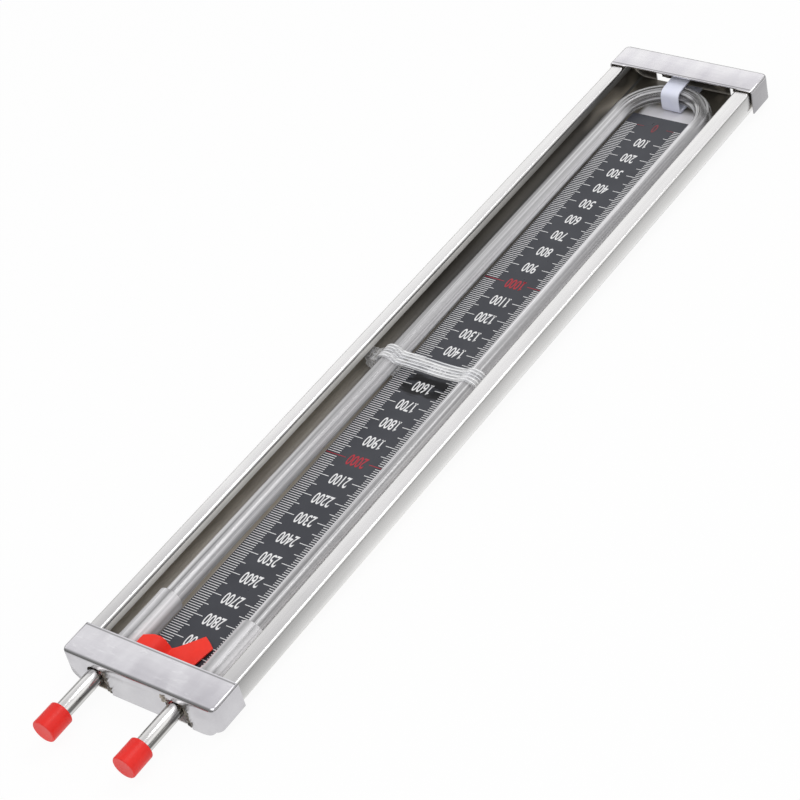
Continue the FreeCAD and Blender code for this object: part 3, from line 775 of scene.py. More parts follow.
RIGHT_HOSE = ((0.0, 1.0), (0.15, 0.40), (0.33, 1.0), (0.43, 0.50), (0.50, 0.80), (0.63, 1.0), (1.0, 0.95))
HOSE_PLASTIC = ClearTubeFinish(
    "hose_clear_plastic", white=(0.99, 0.99, 0.99), light=(0.74, 0.73, 0.75), dark=(0.36, 0.355, 0.37),
    line=(0.26, 0.26, 0.27), face_cover=0.70, edge_cover=0.96, rough=0.12, fineness=700.0,
    left=TubeTones(LEFT_HOSE, LEFT_HOSE), right=TubeTones(RIGHT_HOSE, RIGHT_HOSE), radius=4.75 * MM,
    dim_before=-158.4 * MM,
)
BAND_PLASTIC = ClearPlasticFinish(
    "band_clear_plastic", light=WHITE, dark=(0.88, 0.89, 0.93), face_cover=0.20, edge_cover=0.80, rough=0.10,
    ripple=0.03 * MM, stretch=(0.25, 3.0, 0.25), cloudy=0.20, rib="rib_height", rib_cover=0.85,
)
HEAD_PLASTIC = replace(BAND_PLASTIC, name="head_clear_plastic", face_cover=0.14, stretch=EVEN, cloudy=0.30, rib="")
PLUG_RUBBER = SoftFinish(
    "plug_red_rubber", light=(0.88, 0.026, 0.018), dark=(0.76, 0.018, 0.014), rough=0.36, cell=900.0, relief=0.01 * MM,
    gloss=0.35,
)
STRIP_FILM = SoftFinish(
    "strip_red_film", light=(1.0, 0.045, 0.024), dark=(0.90, 0.030, 0.018), rough=0.46, cell=700.0, relief=0.02 * MM,
    gloss=0.3,
)
STRAP_WEAVE = SoftFinish(
    "strap_white_tape", light=(0.86, 0.885, 1.0), dark=(0.81, 0.835, 0.99), rough=0.6, cell=1500.0, relief=0.02 * MM,
    sheen=0.1,
)
PAD_FOAM = SoftFinish(
    "pad_white_foam", light=(0.86, 0.86, 0.85), dark=(0.74, 0.74, 0.73), rough=0.9, cell=1400.0, relief=0.12 * MM,
)
WHITE_INK = InkFinish("ink_white", colour=(0.92, 0.92, 0.92), worn=(0.80, 0.80, 0.82))
RED_INK = InkFinish("ink_red", colour=(0.50, 0.022, 0.040), worn=(0.38, 0.020, 0.035), fade=0.55)


# Modelling


@dataclass(frozen=True)
class Ring:
    """One ring of a turned or swept piece, square to the Y axis."""

    x: float
    y: float
    z: float
    radius: float


class Bench:
    """The modelling moves that the pieces share."""

    @staticmethod
    def clear() -> None:
        """Leave edit mode and select nothing."""
        if bpy.context.object is not None and bpy.context.object.mode != "OBJECT":
            bpy.ops.object.mode_set(mode="OBJECT")
        bpy.ops.object.select_all(action="DESELECT")

    @staticmethod
    def take(piece: bpy.types.Object) -> None:
        """Make one object the active and only selected one."""
        Bench.clear()
        piece.select_set(True)
        bpy.context.view_layer.objects.active = piece

    @staticmethod
    def edit(piece: bpy.types.Object) -> None:
        """Take one object into edit mode with nothing selected."""
        Bench.take(piece)
        bpy.ops.object.mode_set(mode="EDIT")
        bpy.ops.mesh.select_all(action="DESELECT")

    @staticmethod
    def leave() -> None:
        """Go back to object mode."""
        bpy.ops.object.mode_set(mode="OBJECT")

    @staticmethod
    def pick(piece: bpy.types.Object, kind: Picked, wanted: Callable[[Vector], bool]) -> None:
        """Select the points or the faces whose place passes a test, in edit mode.

        Args:
            piece: the object in edit mode.
            kind: points or faces.
            wanted: the test of a point, or of a face's middle.
        """
        bpy.ops.mesh.select_mode(type=kind.value)
        bpy.ops.mesh.select_all(action="DESELECT")
        mesh = bmesh.from_edit_mesh(piece.data)
        if kind is Picked.VERTS:
            for vert in mesh.verts:
                if wanted(vert.co):
                    vert.select_set(True)
        else:
            for face in mesh.faces:
                if wanted(face.calc_center_median()):
                    face.select_set(True)
        bmesh.update_edit_mesh(piece.data)

    @staticmethod
    def pick_edges(piece: bpy.types.Object, wanted: Callable[[Vector, Vector], bool]) -> None:
        """Select the edges whose two ends pass a test, in edit mode.

        Args:
            piece: the object in edit mode.
            wanted: the test of an edge's ends.
        """
        bpy.ops.mesh.select_mode(type=Picked.EDGES.value)
        bpy.ops.mesh.select_all(action="DESELECT")
        mesh = bmesh.from_edit_mesh(piece.data)
        for edge in mesh.edges:
            if wanted(edge.verts[0].co, edge.verts[1].co):
                edge.select_set(True)
        bmesh.update_edit_mesh(piece.data)

    @staticmethod
    def bevel(width: float, segments: int) -> None:
        """Round the selected edges."""
        bpy.ops.mesh.bevel(offset=width, offset_type="OFFSET", segments=segments, affect="EDGES")

    @staticmethod
    def push(offset: Spot) -> None:
        """Extrude the selection by an offset."""
        bpy.ops.mesh.extrude_region_move(TRANSFORM_OT_translate={"value": offset})

    @staticmethod
    def modify(piece: bpy.types.Object, kind: str, **settings: object) -> None:
        """Add a modifier with its settings and apply it."""
        Bench.take(piece)
        added = piece.modifiers.new(kind.title(), kind)
        for name, value in settings.items():
            setattr(added, name, value)
        bpy.ops.object.modifier_apply(modifier=added.name)

    @staticmethod
    def thicken(piece: bpy.types.Object, sheet: float, offset: float = 0.0) -> None:
        """Give an open sheet its thickness: to both sides, or to one where the offset is 1 or -1."""
        Bench.modify(piece, "SOLIDIFY", thickness=sheet, offset=offset, use_even_offset=True)
        Bench.outward(piece)

    @staticmethod
    def ease(piece: bpy.types.Object, width: float, degrees: float) -> None:
        """Take off the edges that are sharper than an angle."""
        Bench.modify(piece, "BEVEL", width=width, segments=2, limit_method="ANGLE", angle_limit=math.radians(degrees))

    @staticmethod
    def outward(piece: bpy.types.Object, merge: float = 0.000001) -> None:
        """Merge doubled points and turn every face outwards."""
        Bench.edit(piece)
        bpy.ops.mesh.select_all(action="SELECT")
        bpy.ops.mesh.remove_doubles(threshold=merge)
        bpy.ops.mesh.normals_make_consistent(inside=False)
        Bench.leave()

    @staticmethod
    def seat(piece: bpy.types.Object) -> None:
        """Put the object's place, turn and scale into its mesh."""
        Bench.take(piece)
        bpy.ops.object.transform_apply(location=True, rotation=True, scale=True)

    @staticmethod
    def smooth(piece: bpy.types.Object, degrees: float = 35.0) -> None:
        """Shade smooth across edges flatter than an angle."""
        Bench.take(piece)
        bpy.ops.object.shade_smooth_by_angle(angle=math.radians(degrees))

    @staticmethod
    def join(pieces: Sequence[bpy.types.Object]) -> bpy.types.Object:
        """Join pieces into the first of them."""
        Bench.clear()
        for piece in pieces:
            piece.select_set(True)
        bpy.context.view_layer.objects.active = pieces[0]
        bpy.ops.object.join()
        return pieces[0]

    @staticmethod
    def block(name: str, size: Spot, middle: Spot, turn: float = 0.0) -> bpy.types.Object:
        """Make a block.

        Args:
            name: the new object's name.
            size: its size along each axis.
            middle: where its middle lies.
            turn: how far it is turned about Z, in radians.

        Returns:
            The block.
        """
        Bench.clear()
        bpy.ops.mesh.primitive_cube_add(size=1.0, location=middle, rotation=(0.0, 0.0, turn))
        piece = bpy.context.object
        piece.name = name
        piece.scale = size
        Bench.seat(piece)
        return piece

    @staticmethod
    def sheet(name: str, corners: Sequence[tuple[float, float]], low_y: float, high_y: float, cuts: int) -> bpy.types.Object:
        """Sweep a line along Y through a run of (x, z) corners.

        Args:
            name: the new object's name.
            corners: the run, from its start.
            low_y: where the line starts.
            high_y: where it ends.
            cuts: how often the line is divided.

        Returns:
            The open sheet, at the origin.
        """
        Bench.clear()
        bpy.ops.mesh.primitive_plane_add(size=1.0, location=(0.0, 0.0, 0.0))
        piece = bpy.context.object
        piece.name = name
        Bench.edit(piece)
        Bench.pick(piece, Picked.VERTS, lambda spot: spot.x > 0.0)
        bpy.ops.mesh.delete(type="VERT")
        bpy.ops.mesh.select_all(action="SELECT")
        length = high_y - low_y
        bpy.ops.transform.resize(value=(1.0, length, 1.0), center_override=(0.0, 0.0, 0.0))
        start_x, start_z = corners[0]
        bpy.ops.transform.translate(value=(start_x + 0.5, (high_y + low_y) / 2, start_z))
        if cuts:
            bpy.ops.mesh.subdivide(number_cuts=cuts)
        for (x, z), (next_x, next_z) in zip(corners, corners[1:]):
            Bench.push((next_x - x, 0.0, next_z - z))
        Bench.leave()
        return piece

    @staticmethod
    def loft(name: str, rings: Sequence[Ring], sides: int, closed: bool) -> bpy.types.Object:
        """Extrude a circle from ring to ring.

        Args:
            name: the new object's name.
            rings: the rings, in order.
            sides: how many sides each has.
            closed: True where the last ring meets the first, False where both end rings are filled.

        Returns:
            The closed form.
        """
        first = rings[0]
        Bench.clear()
        bpy.ops.mesh.primitive_circle_add(
            vertices=sides, radius=first.radius, location=(first.x, first.y, first.z), rotation=(math.pi / 2, 0.0, 0.0),
            fill_type="NOTHING" if closed else "NGON",
        )
        piece = bpy.context.object
        piece.name = name
        Bench.seat(piece)
        Bench.edit(piece)
        bpy.ops.mesh.select_mode(type="EDGE")
        bpy.ops.mesh.select_all(action="SELECT")
        if not closed:
            bpy.ops.mesh.select_mode(type="FACE")
            bpy.ops.mesh.select_all(action="SELECT")
        before = first
        for ring in rings[1:]:
            Bench.push((ring.x - before.x, ring.y - before.y, ring.z - before.z))
            scale = ring.radius / before.radius
            if abs(scale - 1.0) > 1e-9:
                bpy.ops.transform.resize(value=(scale, scale, scale), center_override=(ring.x, ring.y, ring.z))
            before = ring
        Bench.leave()
        Bench.outward(piece)
        return piece

    @staticmethod
    def finish(piece: bpy.types.Object, material: bpy.types.Material, slot: Slot, *nodes: str) -> bpy.types.Object:
        """Dress a piece, let it ride on the object, and hide the solids that it stands for.

        Args:
            piece: the modelled object.
            material: its finish.
            slot: the record's slot; not used.
            nodes: the solids that it replaces.

        Returns:
            The piece.
        """
        piece.data.name = piece.name
        piece.data.materials.clear()
        piece.data.materials.append(material)
        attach(piece, "root")
        if nodes:
            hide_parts(*nodes)
        LOG.info("%s: %d faces", piece.name, len(piece.data.polygons))
        return piece


def line_inside(
    piece: bpy.types.Object, material: bpy.types.Material, reach: float, within: Callable[[Vector], bool],
) -> None:
    """Give the faces that look into a hollow another finish.

    Args:
        piece: the dressed piece.
        material: the inner finish.
        reach: how far in front of a face the test looks.
        within: whether a point in front of a face lies inside the piece's hollow.
    """
    piece.data.materials.append(material)
    last = len(piece.data.materials) - 1
    for face in piece.data.polygons:
        if within(face.center + face.normal * reach):
            face.material_index = last


def lean(piece: bpy.types.Object, angle: float, spot: Spot) -> None:
    """Tip a piece that was built level at the origin about the X axis, then carry it to its place.

    Args:
        piece: the object.
        angle: how far it tips, in radians.
        spot: where its origin goes.
    """
    turn = Matrix.Translation(Vector(spot)) @ Matrix.Rotation(angle, 4, "X")
    piece.matrix_world = turn @ piece.matrix_world
    Bench.seat(piece)


def arc_run(start: float, end: float, steps: int) -> list[float]:
    """Angles from start to end in equal steps, both included."""
    return [start + (end - start) * step / steps for step in range(steps + 1)]


def same(one: float, other: float) -> bool:
    """Whether two places along an axis are one and the same."""
    return abs(one - other) < 1e-6


# Channel and end caps


@dataclass
class Channel:
    """The folded steel channel."""

    left: float = -31.35 * MM
    right: float = 30.9 * MM
    left_lip: float = -25.7 * MM
    right_lip: float = 24.0 * MM
    depth: float = 13.2 * MM
    sheet: float = 0.7 * MM
    back_bend: float = 8.0 * MM
    front_bend: float = 1.2 * MM
    lip_return: float = 3.8 * MM
    near_end: float = -164.9 * MM
    far_end: float = 191.2 * MM

    def build(self) -> bpy.types.Object:
        """Fold the sheet and give it its thickness.

        Returns:
            The channel.
        """
        low = self.depth - self.lip_return
        corners = [
            (self.left_lip, low), (self.left_lip, self.depth), (self.left, self.depth), (self.left, 0.0),
            (self.right, 0.0), (self.right, self.depth), (self.right_lip, self.depth), (self.right_lip, low),
        ]
        piece = Bench.sheet("channel", corners, self.near_end, self.far_end, 71)
        Bench.edit(piece)
        self.round_folds(piece, 0.0, self.back_bend, 12)
        self.round_folds(piece, self.depth, self.front_bend, 5)
        Bench.leave()
        Bench.outward(piece)
        Bench.thicken(piece, self.sheet, self.inward(piece))
        Bench.ease(piece, 0.12 * MM, 60.0)
        Bench.smooth(piece)
        Bench.finish(piece, CHANNEL_STEEL.build(), Slot.CHANNEL, "casing")
        # The faces inside the channel get painted shade.
        line_inside(piece, INNER_PAINTED_SHADE.build(), 0.4 * MM, self.within)
        # The lips' turned down edges get a lighter copy of the steel as painted light.
        line_inside(piece, RETURN_PAINTED_LIGHT.build(), 0.0, self.on_return)
        return piece

    def within(self, spot: Vector) -> bool:
        """Whether a point lies under the lips or just over the channel's floor."""
        if not self.left + self.sheet < spot.x < self.right - self.sheet:
            return False
        if not self.sheet < spot.z < self.depth - self.sheet:
            return False
        under_lip = spot.x < self.left_lip - self.sheet / 2 or spot.x > self.right_lip + self.sheet / 2
        return under_lip or spot.z < self.sheet + 1.0 * MM

    def on_return(self, spot: Vector) -> bool:
        """Whether a point lies on a lip's turned down edge, on the side that faces the glass."""
        beside = min(abs(spot.x - self.left_lip), abs(spot.x - self.right_lip))
        return beside < 0.1 * MM and spot.z < self.depth - self.front_bend

    def round_folds(self, piece: bpy.types.Object, height: float, radius: float, segments: int) -> None:
        """Round the folds at one height.

        Args:
            piece: the sheet, in edit mode.
            height: the folds' height.
            radius: the fold's outer radius.
            segments: how many faces each fold gets.
        """
        Bench.pick_edges(piece, lambda one, other: (
            same(one.z, height) and same(one.z, other.z) and same(one.x, other.x) and self.at_fold(one)
        ))
        Bench.bevel(radius, segments)

    def at_fold(self, spot: Vector) -> bool:
        """Whether a point lies on one of the folds."""
        at_wall = same(spot.x, self.left) or same(spot.x, self.right)
        at_lip = same(spot.x, self.left_lip) or same(spot.x, self.right_lip)
        return at_wall or (at_lip and same(spot.z, self.depth))

    @staticmethod
    def inward(piece: bpy.types.Object) -> float:
        """Which way the thickness goes, so that the drawn face stays outermost."""
        for face in piece.data.polygons:
            if same(face.center.z, 0.0) and abs(face.center.x) < 10.0 * MM:
                return -1.0 if face.normal.z < 0.0 else 1.0
        return -1.0


@dataclass
class EndCap:
    """A pressed steel cap over one end of the channel."""

    name: str
    node: str
    face_y: float
    heading: float
    wall_tone: float
    bright: float
    half_width: float = 32.0 * MM
    face: float = 14.3 * MM
    side_depth: float = 10.4 * MM
    length: float = 13.1 * MM
    sheet: float = 0.6 * MM
    bend: float = 1.3 * MM
    upright: float = 2.4 * MM
    apron_lift: float = 0.1 * MM
    corner: float = 8.0 * MM
    corner_run: float = 7.4 * MM
    left_notch: tuple[float, float] = (-22.2 * MM, -14.2 * MM)
    right_notch: tuple[float, float] = (10.8 * MM, 19.4 * MM)
    notch_top: float = 11.1 * MM
    notch_corner: float = 2.8 * MM
    fold_inset: float = 0.45 * MM
    edge_inset: float = 0.75 * MM
    wide_area: float = 400.0 * MM * MM

    def build(self) -> bpy.types.Object:
        """Press the cap, bow its end wall and cut its two notches.

        Returns:
            The cap.
        """
        low = self.face - self.side_depth
        size = (self.half_width * 2, self.length, self.side_depth)
        piece = Bench.block(self.name, size, (0.0, self.length / 2, (self.face + low) / 2))
        Bench.edit(piece)
        Bench.pick(piece, Picked.FACES, lambda spot: same(spot.z, low) or same(spot.y, self.length))
        bpy.ops.mesh.delete(type="FACE")
        Bench.pick_edges(piece, lambda one, other: same(one.y, 0.0) and same(other.y, 0.0) and same(one.x, other.x))
        Bench.bevel(self.upright, 6)
        Bench.pick_edges(piece, self.on_rim)
        Bench.bevel(self.bend, 5)
        Bench.pick_edges(piece, lambda one, other: self.at_foot(one, low) and self.at_foot(other, low))
        bpy.ops.mesh.subdivide(number_cuts=40)
        Bench.leave()
        self.bow(piece, low)
        Bench.outward(piece)
        Bench.thicken(piece, self.sheet, self.inward(piece))
        for side in Side:
            self.cut_notch(piece, side)
        Bench.ease(piece, 0.1 * MM, 50.0)
        Bench.finish(piece, self.steel().build(), Slot.CAP, self.node)
        # The cap's inside gets painted shade.
        line_inside(piece, INNER_PAINTED_SHADE.build(), 0.3 * MM, self.within)
        piece.rotation_euler = (0.0, 0.0, self.heading)
        piece.location = (0.0, self.face_y, 0.0)
        Bench.seat(piece)
        Bench.smooth(piece, 30.0)
        return piece

    def steel(self) -> SteelFinish:
        """This cap's finish, lighter or darker by its painted light, with painted shade on its side walls and painted
        shade lines along its end fold, its open edge and its side folds.
        """
        inwards = math.copysign(1.0, -self.face_y)
        height = self.face - self.fold_inset
        lines = (
            DarkLine("Y", self.face_y + inwards * self.fold_inset, height, 0.24 * MM, 0.80 * MM),
            DarkLine("Y", self.face_y + inwards * (self.length - self.edge_inset), self.face, 0.12 * MM, 0.42 * MM, 0.7),
            DarkLine("X", self.half_width - self.fold_inset, height, 0.16 * MM, 0.56 * MM, 0.6),
        )
        return replace(
            CAP_STEEL, name=f"{self.name}_steel", light=self.toned(CAP_STEEL.light), dark=self.toned(CAP_STEEL.dark),
            wall_tone=self.wall_tone, wall_even=1.0 - self.wall_tone, lines=lines,
        )

    def toned(self, colour: Colour) -> Colour:
        """A colour brightened or darkened by this cap's painted light."""
        return tuple(min(1.0, part * self.bright) for part in colour)

    def within(self, spot: Vector) -> bool:
        """Whether a point lies in the cap's hollow, before the cap is turned to its end of the channel."""
        return abs(spot.x) < self.half_width - self.sheet and spot.y > self.sheet and spot.z < self.face - self.sheet

    @staticmethod
    def at_foot(spot: Vector, low: float) -> bool:
        """Whether a point lies on the end wall's lower edge."""
        return same(spot.y, 0.0) and same(spot.z, low)

    def on_rim(self, one: Vector, other: Vector) -> bool:
        """Whether an edge runs along the face's rim, and not along the cap's open side."""
        level = same(one.z, self.face) and same(other.z, self.face)
        open_side = same(one.y, self.length) and same(other.y, self.length)
        return level and not open_side

    def bow(self, piece: bpy.types.Object, low: float) -> None:
        """Bring the end wall's lower edge down to the floor, with corners that follow the channel's back.

        Args:
            piece: the cap.
            low: the side walls' lower edge.
        """
        start = self.half_width - self.bend - self.corner_run
        for vert in piece.data.vertices:
            spot = vert.co
            if self.at_foot(spot, low):
                past = max(0.0, abs(spot.x) - start)
                rise = self.corner - math.sqrt(max(0.0, self.corner ** 2 - past ** 2))
                spot.z = min(low, self.apron_lift + rise)

    def inward(self, piece: bpy.types.Object) -> float:
        """Which way the thickness goes, so that the drawn face stays outermost."""
        for face in piece.data.polygons:
            if face.area > self.wide_area:
                return -1.0 if face.normal.z > 0.0 or face.normal.y < 0.0 else 1.0
        return -1.0

    def cut_notch(self, piece: bpy.types.Object, side: Side) -> None:
        """Cut one pipe notch up into the end wall.

        Args:
            piece: the cap.
            side: which notch.
        """
        low, high = self.left_notch if side is Side.LEFT else self.right_notch
        size = (high - low, self.sheet * 6, self.notch_top * 2)
        tool = Bench.block("notch", size, ((high + low) / 2, 0.0, 0.0))
        Bench.edit(tool)
        Bench.pick_edges(tool, lambda one, other: one.z > 0.0 and other.z > 0.0 and same(one.x, other.x))
        Bench.bevel(self.notch_corner, 5)
        Bench.leave()
        Bench.modify(piece, "BOOLEAN", object=tool, operation="DIFFERENCE", solver="EXACT")
        bpy.data.objects.remove(tool)


@dataclass
class TornTab:
    """A crumpled tab of sheet that was torn and bent when a pipe notch was broken open."""

    name: str
    steel: SteelFinish
    y: float
    across: tuple[float, float]
    up: tuple[float, float]
    sheet: float = 0.35 * MM
    crumple: float = 0.168 * MM
    rag: float = 0.22 * MM

    def build(self) -> bpy.types.Object:
        """Crumple a divided plane, tear its outline and give it its thickness.

        Returns:
            The tab.
        """
        width = self.across[1] - self.across[0]
        height = self.up[1] - self.up[0]
        Bench.clear()
        bpy.ops.mesh.primitive_grid_add(x_subdivisions=10, y_subdivisions=14, size=1.0, rotation=(math.pi / 2, 0.0, 0.0))
        piece = bpy.context.object
        piece.name = self.name
        piece.scale = (width, height, 1.0)
        piece.location = ((self.across[0] + self.across[1]) / 2, self.y, (self.up[0] + self.up[1]) / 2)
        Bench.seat(piece)
        for vert in piece.data.vertices:
            spot = vert.co
            fold = math.sin(spot.z * 2900.0 + spot.x * 1700.0) + 0.6 * math.sin(spot.x * 5200.0 - spot.z * 1300.0)
            ragged = math.sin(spot.z * 4100.0) + 0.7 * math.sin(spot.z * 9300.0 + 1.0)
            edge = (spot.x - self.across[0]) / width
            spot.y += fold * self.crumple
            spot.x += ragged * self.rag * edge
        Bench.outward(piece)
        Bench.thicken(piece, self.sheet)
        Bench.smooth(piece, 25.0)
        return Bench.finish(piece, self.steel.build(), Slot.CAP)


NOTCH_HEIGHT = (1.2 * MM, 11.6 * MM)
INSIDE_HEIGHT = (3.0 * MM, 12.0 * MM)
TORN_TABS = (
    TornTab("tab_near_left", TAB_PAINTED_SHADE, y=-165.6 * MM, across=(-15.6 * MM, -13.9 * MM), up=NOTCH_HEIGHT),
    TornTab("tab_near_right", TAB_PAINTED_SHADE, y=-165.6 * MM, across=(18.1 * MM, 19.9 * MM), up=NOTCH_HEIGHT),
    TornTab("tab_near_folded", TAB_PAINTED_LIGHT, y=-165.8 * MM, across=(9.6 * MM, 11.6 * MM), up=(9.0 * MM, 12.2 * MM)),
    TornTab("tab_far_left", INSIDE_TAB_SHADE, y=190.9 * MM, across=(-16.2 * MM, -10.2 * MM), up=INSIDE_HEIGHT),
    TornTab("tab_far_right", INSIDE_TAB_SHADE, y=190.9 * MM, across=(16.0 * MM, 22.4 * MM), up=INSIDE_HEIGHT),
)


# Glass, hoses, pipes and red caps


@dataclass
class GlassTube:
    """The U tube: two limbs and a half circle bend, one tube of even section."""

    radius: float = 3.5 * MM
    wall: float = 1.1 * MM
    bow: float = 0.25 * MM
    sides: int = 48
    steps: int = 16

    def build(self) -> bpy.types.Object:
        """Extrude, spin and extrude a circle, then give the glass its wall.

        Returns:
            The tube.
        """
        Bench.clear()
        bpy.ops.mesh.primitive_circle_add(
            vertices=self.sides, radius=self.radius, location=(-PLANE.limb_x, 0.0, 0.0), rotation=(math.pi / 2, 0.0, 0.0),
            fill_type="NOTHING",
        )
        piece = bpy.context.object
        piece.name = "glass_tube"
        Bench.seat(piece)
        Bench.edit(piece)
        bpy.ops.mesh.select_mode(type="EDGE")
        bpy.ops.mesh.select_all(action="SELECT")
        self.run(PLANE.length, 1.0)
        bpy.ops.mesh.spin(steps=64, angle=math.pi, center=(0.0, PLANE.length, 0.0), axis=(0.0, 0.0, 1.0))
        self.run(-PLANE.length, -1.0)
        Bench.leave()
        Bench.outward(piece)
        Bench.modify(piece, "SOLIDIFY", thickness=self.wall, offset=-1.0, use_even_offset=True)
        round_tube = piece.data.attributes.new("round_tube", "FLOAT_VECTOR", "POINT")
        for vert, value in zip(piece.data.vertices, round_tube.data):
            value.vector = self.round_tube(vert.co)
        PLANE.carry(piece)
        Bench.smooth(piece, 50.0)
        piece.visible_shadow = False
        return Bench.finish(piece, TUBE_GLASS.build(), Slot.GLASS, "u_tube")

    @staticmethod
    def round_tube(spot: Vector) -> Spot:
        """Where a point of the level tube lies: outwards from the glass's middle line, along it, and up."""
        past = spot.y - PLANE.length
        if past > 0.0:
            turn = math.atan2(past, spot.x)
            return (math.hypot(spot.x, past) - PLANE.limb_x, PLANE.length + (math.pi - turn) * PLANE.limb_x, spot.z)
        if spot.x < 0.0:
            return (-spot.x - PLANE.limb_x, spot.y, spot.z)
        return (spot.x - PLANE.limb_x, PLANE.length + math.pi * PLANE.limb_x - past, spot.z)

    def run(self, length: float, turn: float) -> None:
        """Extrude the ring along a limb in steps, with the slight bow that hand bent glass has.

        Args:
            length: how far along Y.
            turn: 1 for the left limb, -1 for the right one.
        """
        for step in range(self.steps):
            sway = math.sin((step + 1) / self.steps * math.pi) - math.sin(step / self.steps * math.pi)
            Bench.push((self.bow * sway * turn, length / self.steps, 0.0))


@dataclass
class Hose:
    """A clear hose from one limb over to a pipe that lies a little beside it."""

    side: Side
    radius: float = 4.75 * MM
    limb_bore: float = 3.55 * MM
    pipe_bore: float = 3.05 * MM
    grip: float = 19.4 * MM
    run: float = 10.0 * MM
    end: float = 16.6 * MM
    steps: int = 10

    def line(self, y: float) -> float:
        """The hose's middle, across, at a distance from the limb's end."""
        share = min(1.0, max(0.0, -y / self.run))
        return PLANE.limb_x * self.side.value - PLANE.shift(self.side) * share * share * (3.0 - 2.0 * share)

    def build(self) -> bpy.types.Object:
        """Loft the outside, turn in at both mouths and loft the bore back.

        Returns:
            The hose.
        """
        profile = self.outside() + self.bore()
        rings = [Ring(self.line(y), y, 0.0, radius) for y, radius in profile + profile[:1]]
        piece = Bench.loft(f"hose_{self.side.name.lower()}_soft", rings, 40, True)
        PLANE.carry(piece)
        Bench.smooth(piece, 50.0)
        piece.visible_shadow = False
        return Bench.finish(piece, HOSE_PLASTIC.build(), Slot.HOSE, f"hose_{self.side.name.lower()}")

    def outside(self) -> list[tuple[float, float]]:
        """The outside, as (y, radius) from the limb's mouth to the pipe's end."""
        mouth = ((0.0, 0.45), (0.15, 0.12), (0.5, 0.0), (1.1, 0.03), (2.2, 0.12), (8.0, 0.10))
        profile = [(self.grip - back * MM, self.radius - inset * MM) for back, inset in mouth]
        profile.append((0.5 * MM, self.radius - 0.08 * MM))
        for step in range(1, self.steps + 1):
            share = step / self.steps
            profile.append((-self.run * share, self.radius - (0.1 + 0.25 * share) * MM))
        profile.append((-self.end + 0.3 * MM, self.radius - 0.35 * MM))
        profile.append((-self.end, self.radius - 0.6 * MM))
        return profile

    def bore(self) -> list[tuple[float, float]]:
        """The bore, as (y, radius) from the pipe's end back to the limb's mouth."""
        profile = [(-self.end, self.pipe_bore)]
        for step in range(self.steps, 0, -1):
            profile.append((-self.run * step / self.steps, self.pipe_bore))
        profile.append((-0.05 * MM, self.pipe_bore))
        profile.append((-0.02 * MM, self.limb_bore))
        profile.append((self.grip - 0.6 * MM, self.limb_bore))
        profile.append((self.grip, self.limb_bore + 0.15 * MM))
        return profile


@dataclass
class Pipe:
    """A polished steel pipe end."""

    side: Side
    radius: float = 3.0 * MM
    wall: float = 0.8 * MM
    inner_end: float = -10.05 * MM
    outer_end: float = -43.3 * MM
    rim: float = 0.3 * MM
    shade_lift: float = 0.1 * MM

    def build(self) -> bpy.types.Object:
        """Loft the outside and the bore, with rounded rims.

        Returns:
            The pipe.
        """
        x = PLANE.pipe_x(self.side)
        bore = self.radius - self.wall
        lip = 0.1 * MM
        profile = [
            (self.inner_end, self.radius - self.rim),
            (self.inner_end - self.rim * 0.3, self.radius - self.rim * 0.3),
            (self.inner_end - self.rim, self.radius),
            (self.outer_end + self.rim, self.radius),
            (self.outer_end + self.rim * 0.3, self.radius - self.rim * 0.3),
            (self.outer_end, self.radius - self.rim),
            (self.outer_end, bore + lip),
            (self.outer_end + lip, bore),
            (self.inner_end - lip, bore),
            (self.inner_end, bore + lip),
            (self.inner_end, self.radius - self.rim),
        ]
        rings = [Ring(x, y, 0.0, radius) for y, radius in profile]
        piece = Bench.loft(f"pipe_{self.side.name.lower()}_polished", rings, 64, True)
        PLANE.carry(piece)
        Bench.smooth(piece, 40.0)
        steel = replace(PIPE_STEEL, pipe_at=(x, PLANE.open_z + self.shade_lift, self.radius))
        return Bench.finish(piece, steel.build(), Slot.PIPE, f"pipe_{self.side.name.lower()}")


@dataclass
class PlugCap:
    """A soft red cap over a pipe end."""

    side: Side
    radius: float = 4.45 * MM
    bore: float = 3.05 * MM
    closed: float = -44.6 * MM
    length: float = 9.2 * MM
    floor: float = 1.2 * MM
    rounding: float = 0.55 * MM
    mouth_rounding: float = 0.35 * MM

    def build(self) -> bpy.types.Object:
        """Loft the soft cap with rounded rims and a slightly sunk end face.

        Returns:
            The cap.
        """
        x = PLANE.pipe_x(self.side)
        mouth = self.closed + self.length
        profile = [(self.closed + 0.12 * MM, self.radius * 0.35), (self.closed + 0.05 * MM, self.radius * 0.7)]
        for angle in arc_run(0.0, math.pi / 2, 6):
            profile.append((
                self.closed + self.rounding * (1.0 - math.cos(angle)), self.radius - self.rounding * (1.0 - math.sin(angle)),
            ))
        profile.append((self.closed + 3.5 * MM, self.radius - 0.04 * MM))
        profile.append((mouth - 1.0 * MM, self.radius - 0.06 * MM))
        for angle in arc_run(0.0, math.pi / 2, 5):
            profile.append((
                mouth - self.mouth_rounding * (1.0 - math.sin(angle)),
                self.radius - 0.06 * MM - self.mouth_rounding * (1.0 - math.cos(angle)),
            ))
        profile.append((mouth, self.bore + 0.2 * MM))
        profile.append((mouth - 0.2 * MM, self.bore))
        profile.append((self.closed + self.floor, self.bore))
        rings = [Ring(x, y, 0.0, radius) for y, radius in profile]
        piece = Bench.loft(f"plug_{self.side.name.lower()}_soft", rings, 56, False)
        PLANE.carry(piece)
        Bench.smooth(piece, 50.0)
        return Bench.finish(piece, PLUG_RUBBER.build(), Slot.PLUG, f"plug_cap_{self.side.name.lower()}")


# Scale plate, its print and its foam


class Ink(Enum):
    """The print's two colours."""

    WHITE = "white"
    RED = "red"


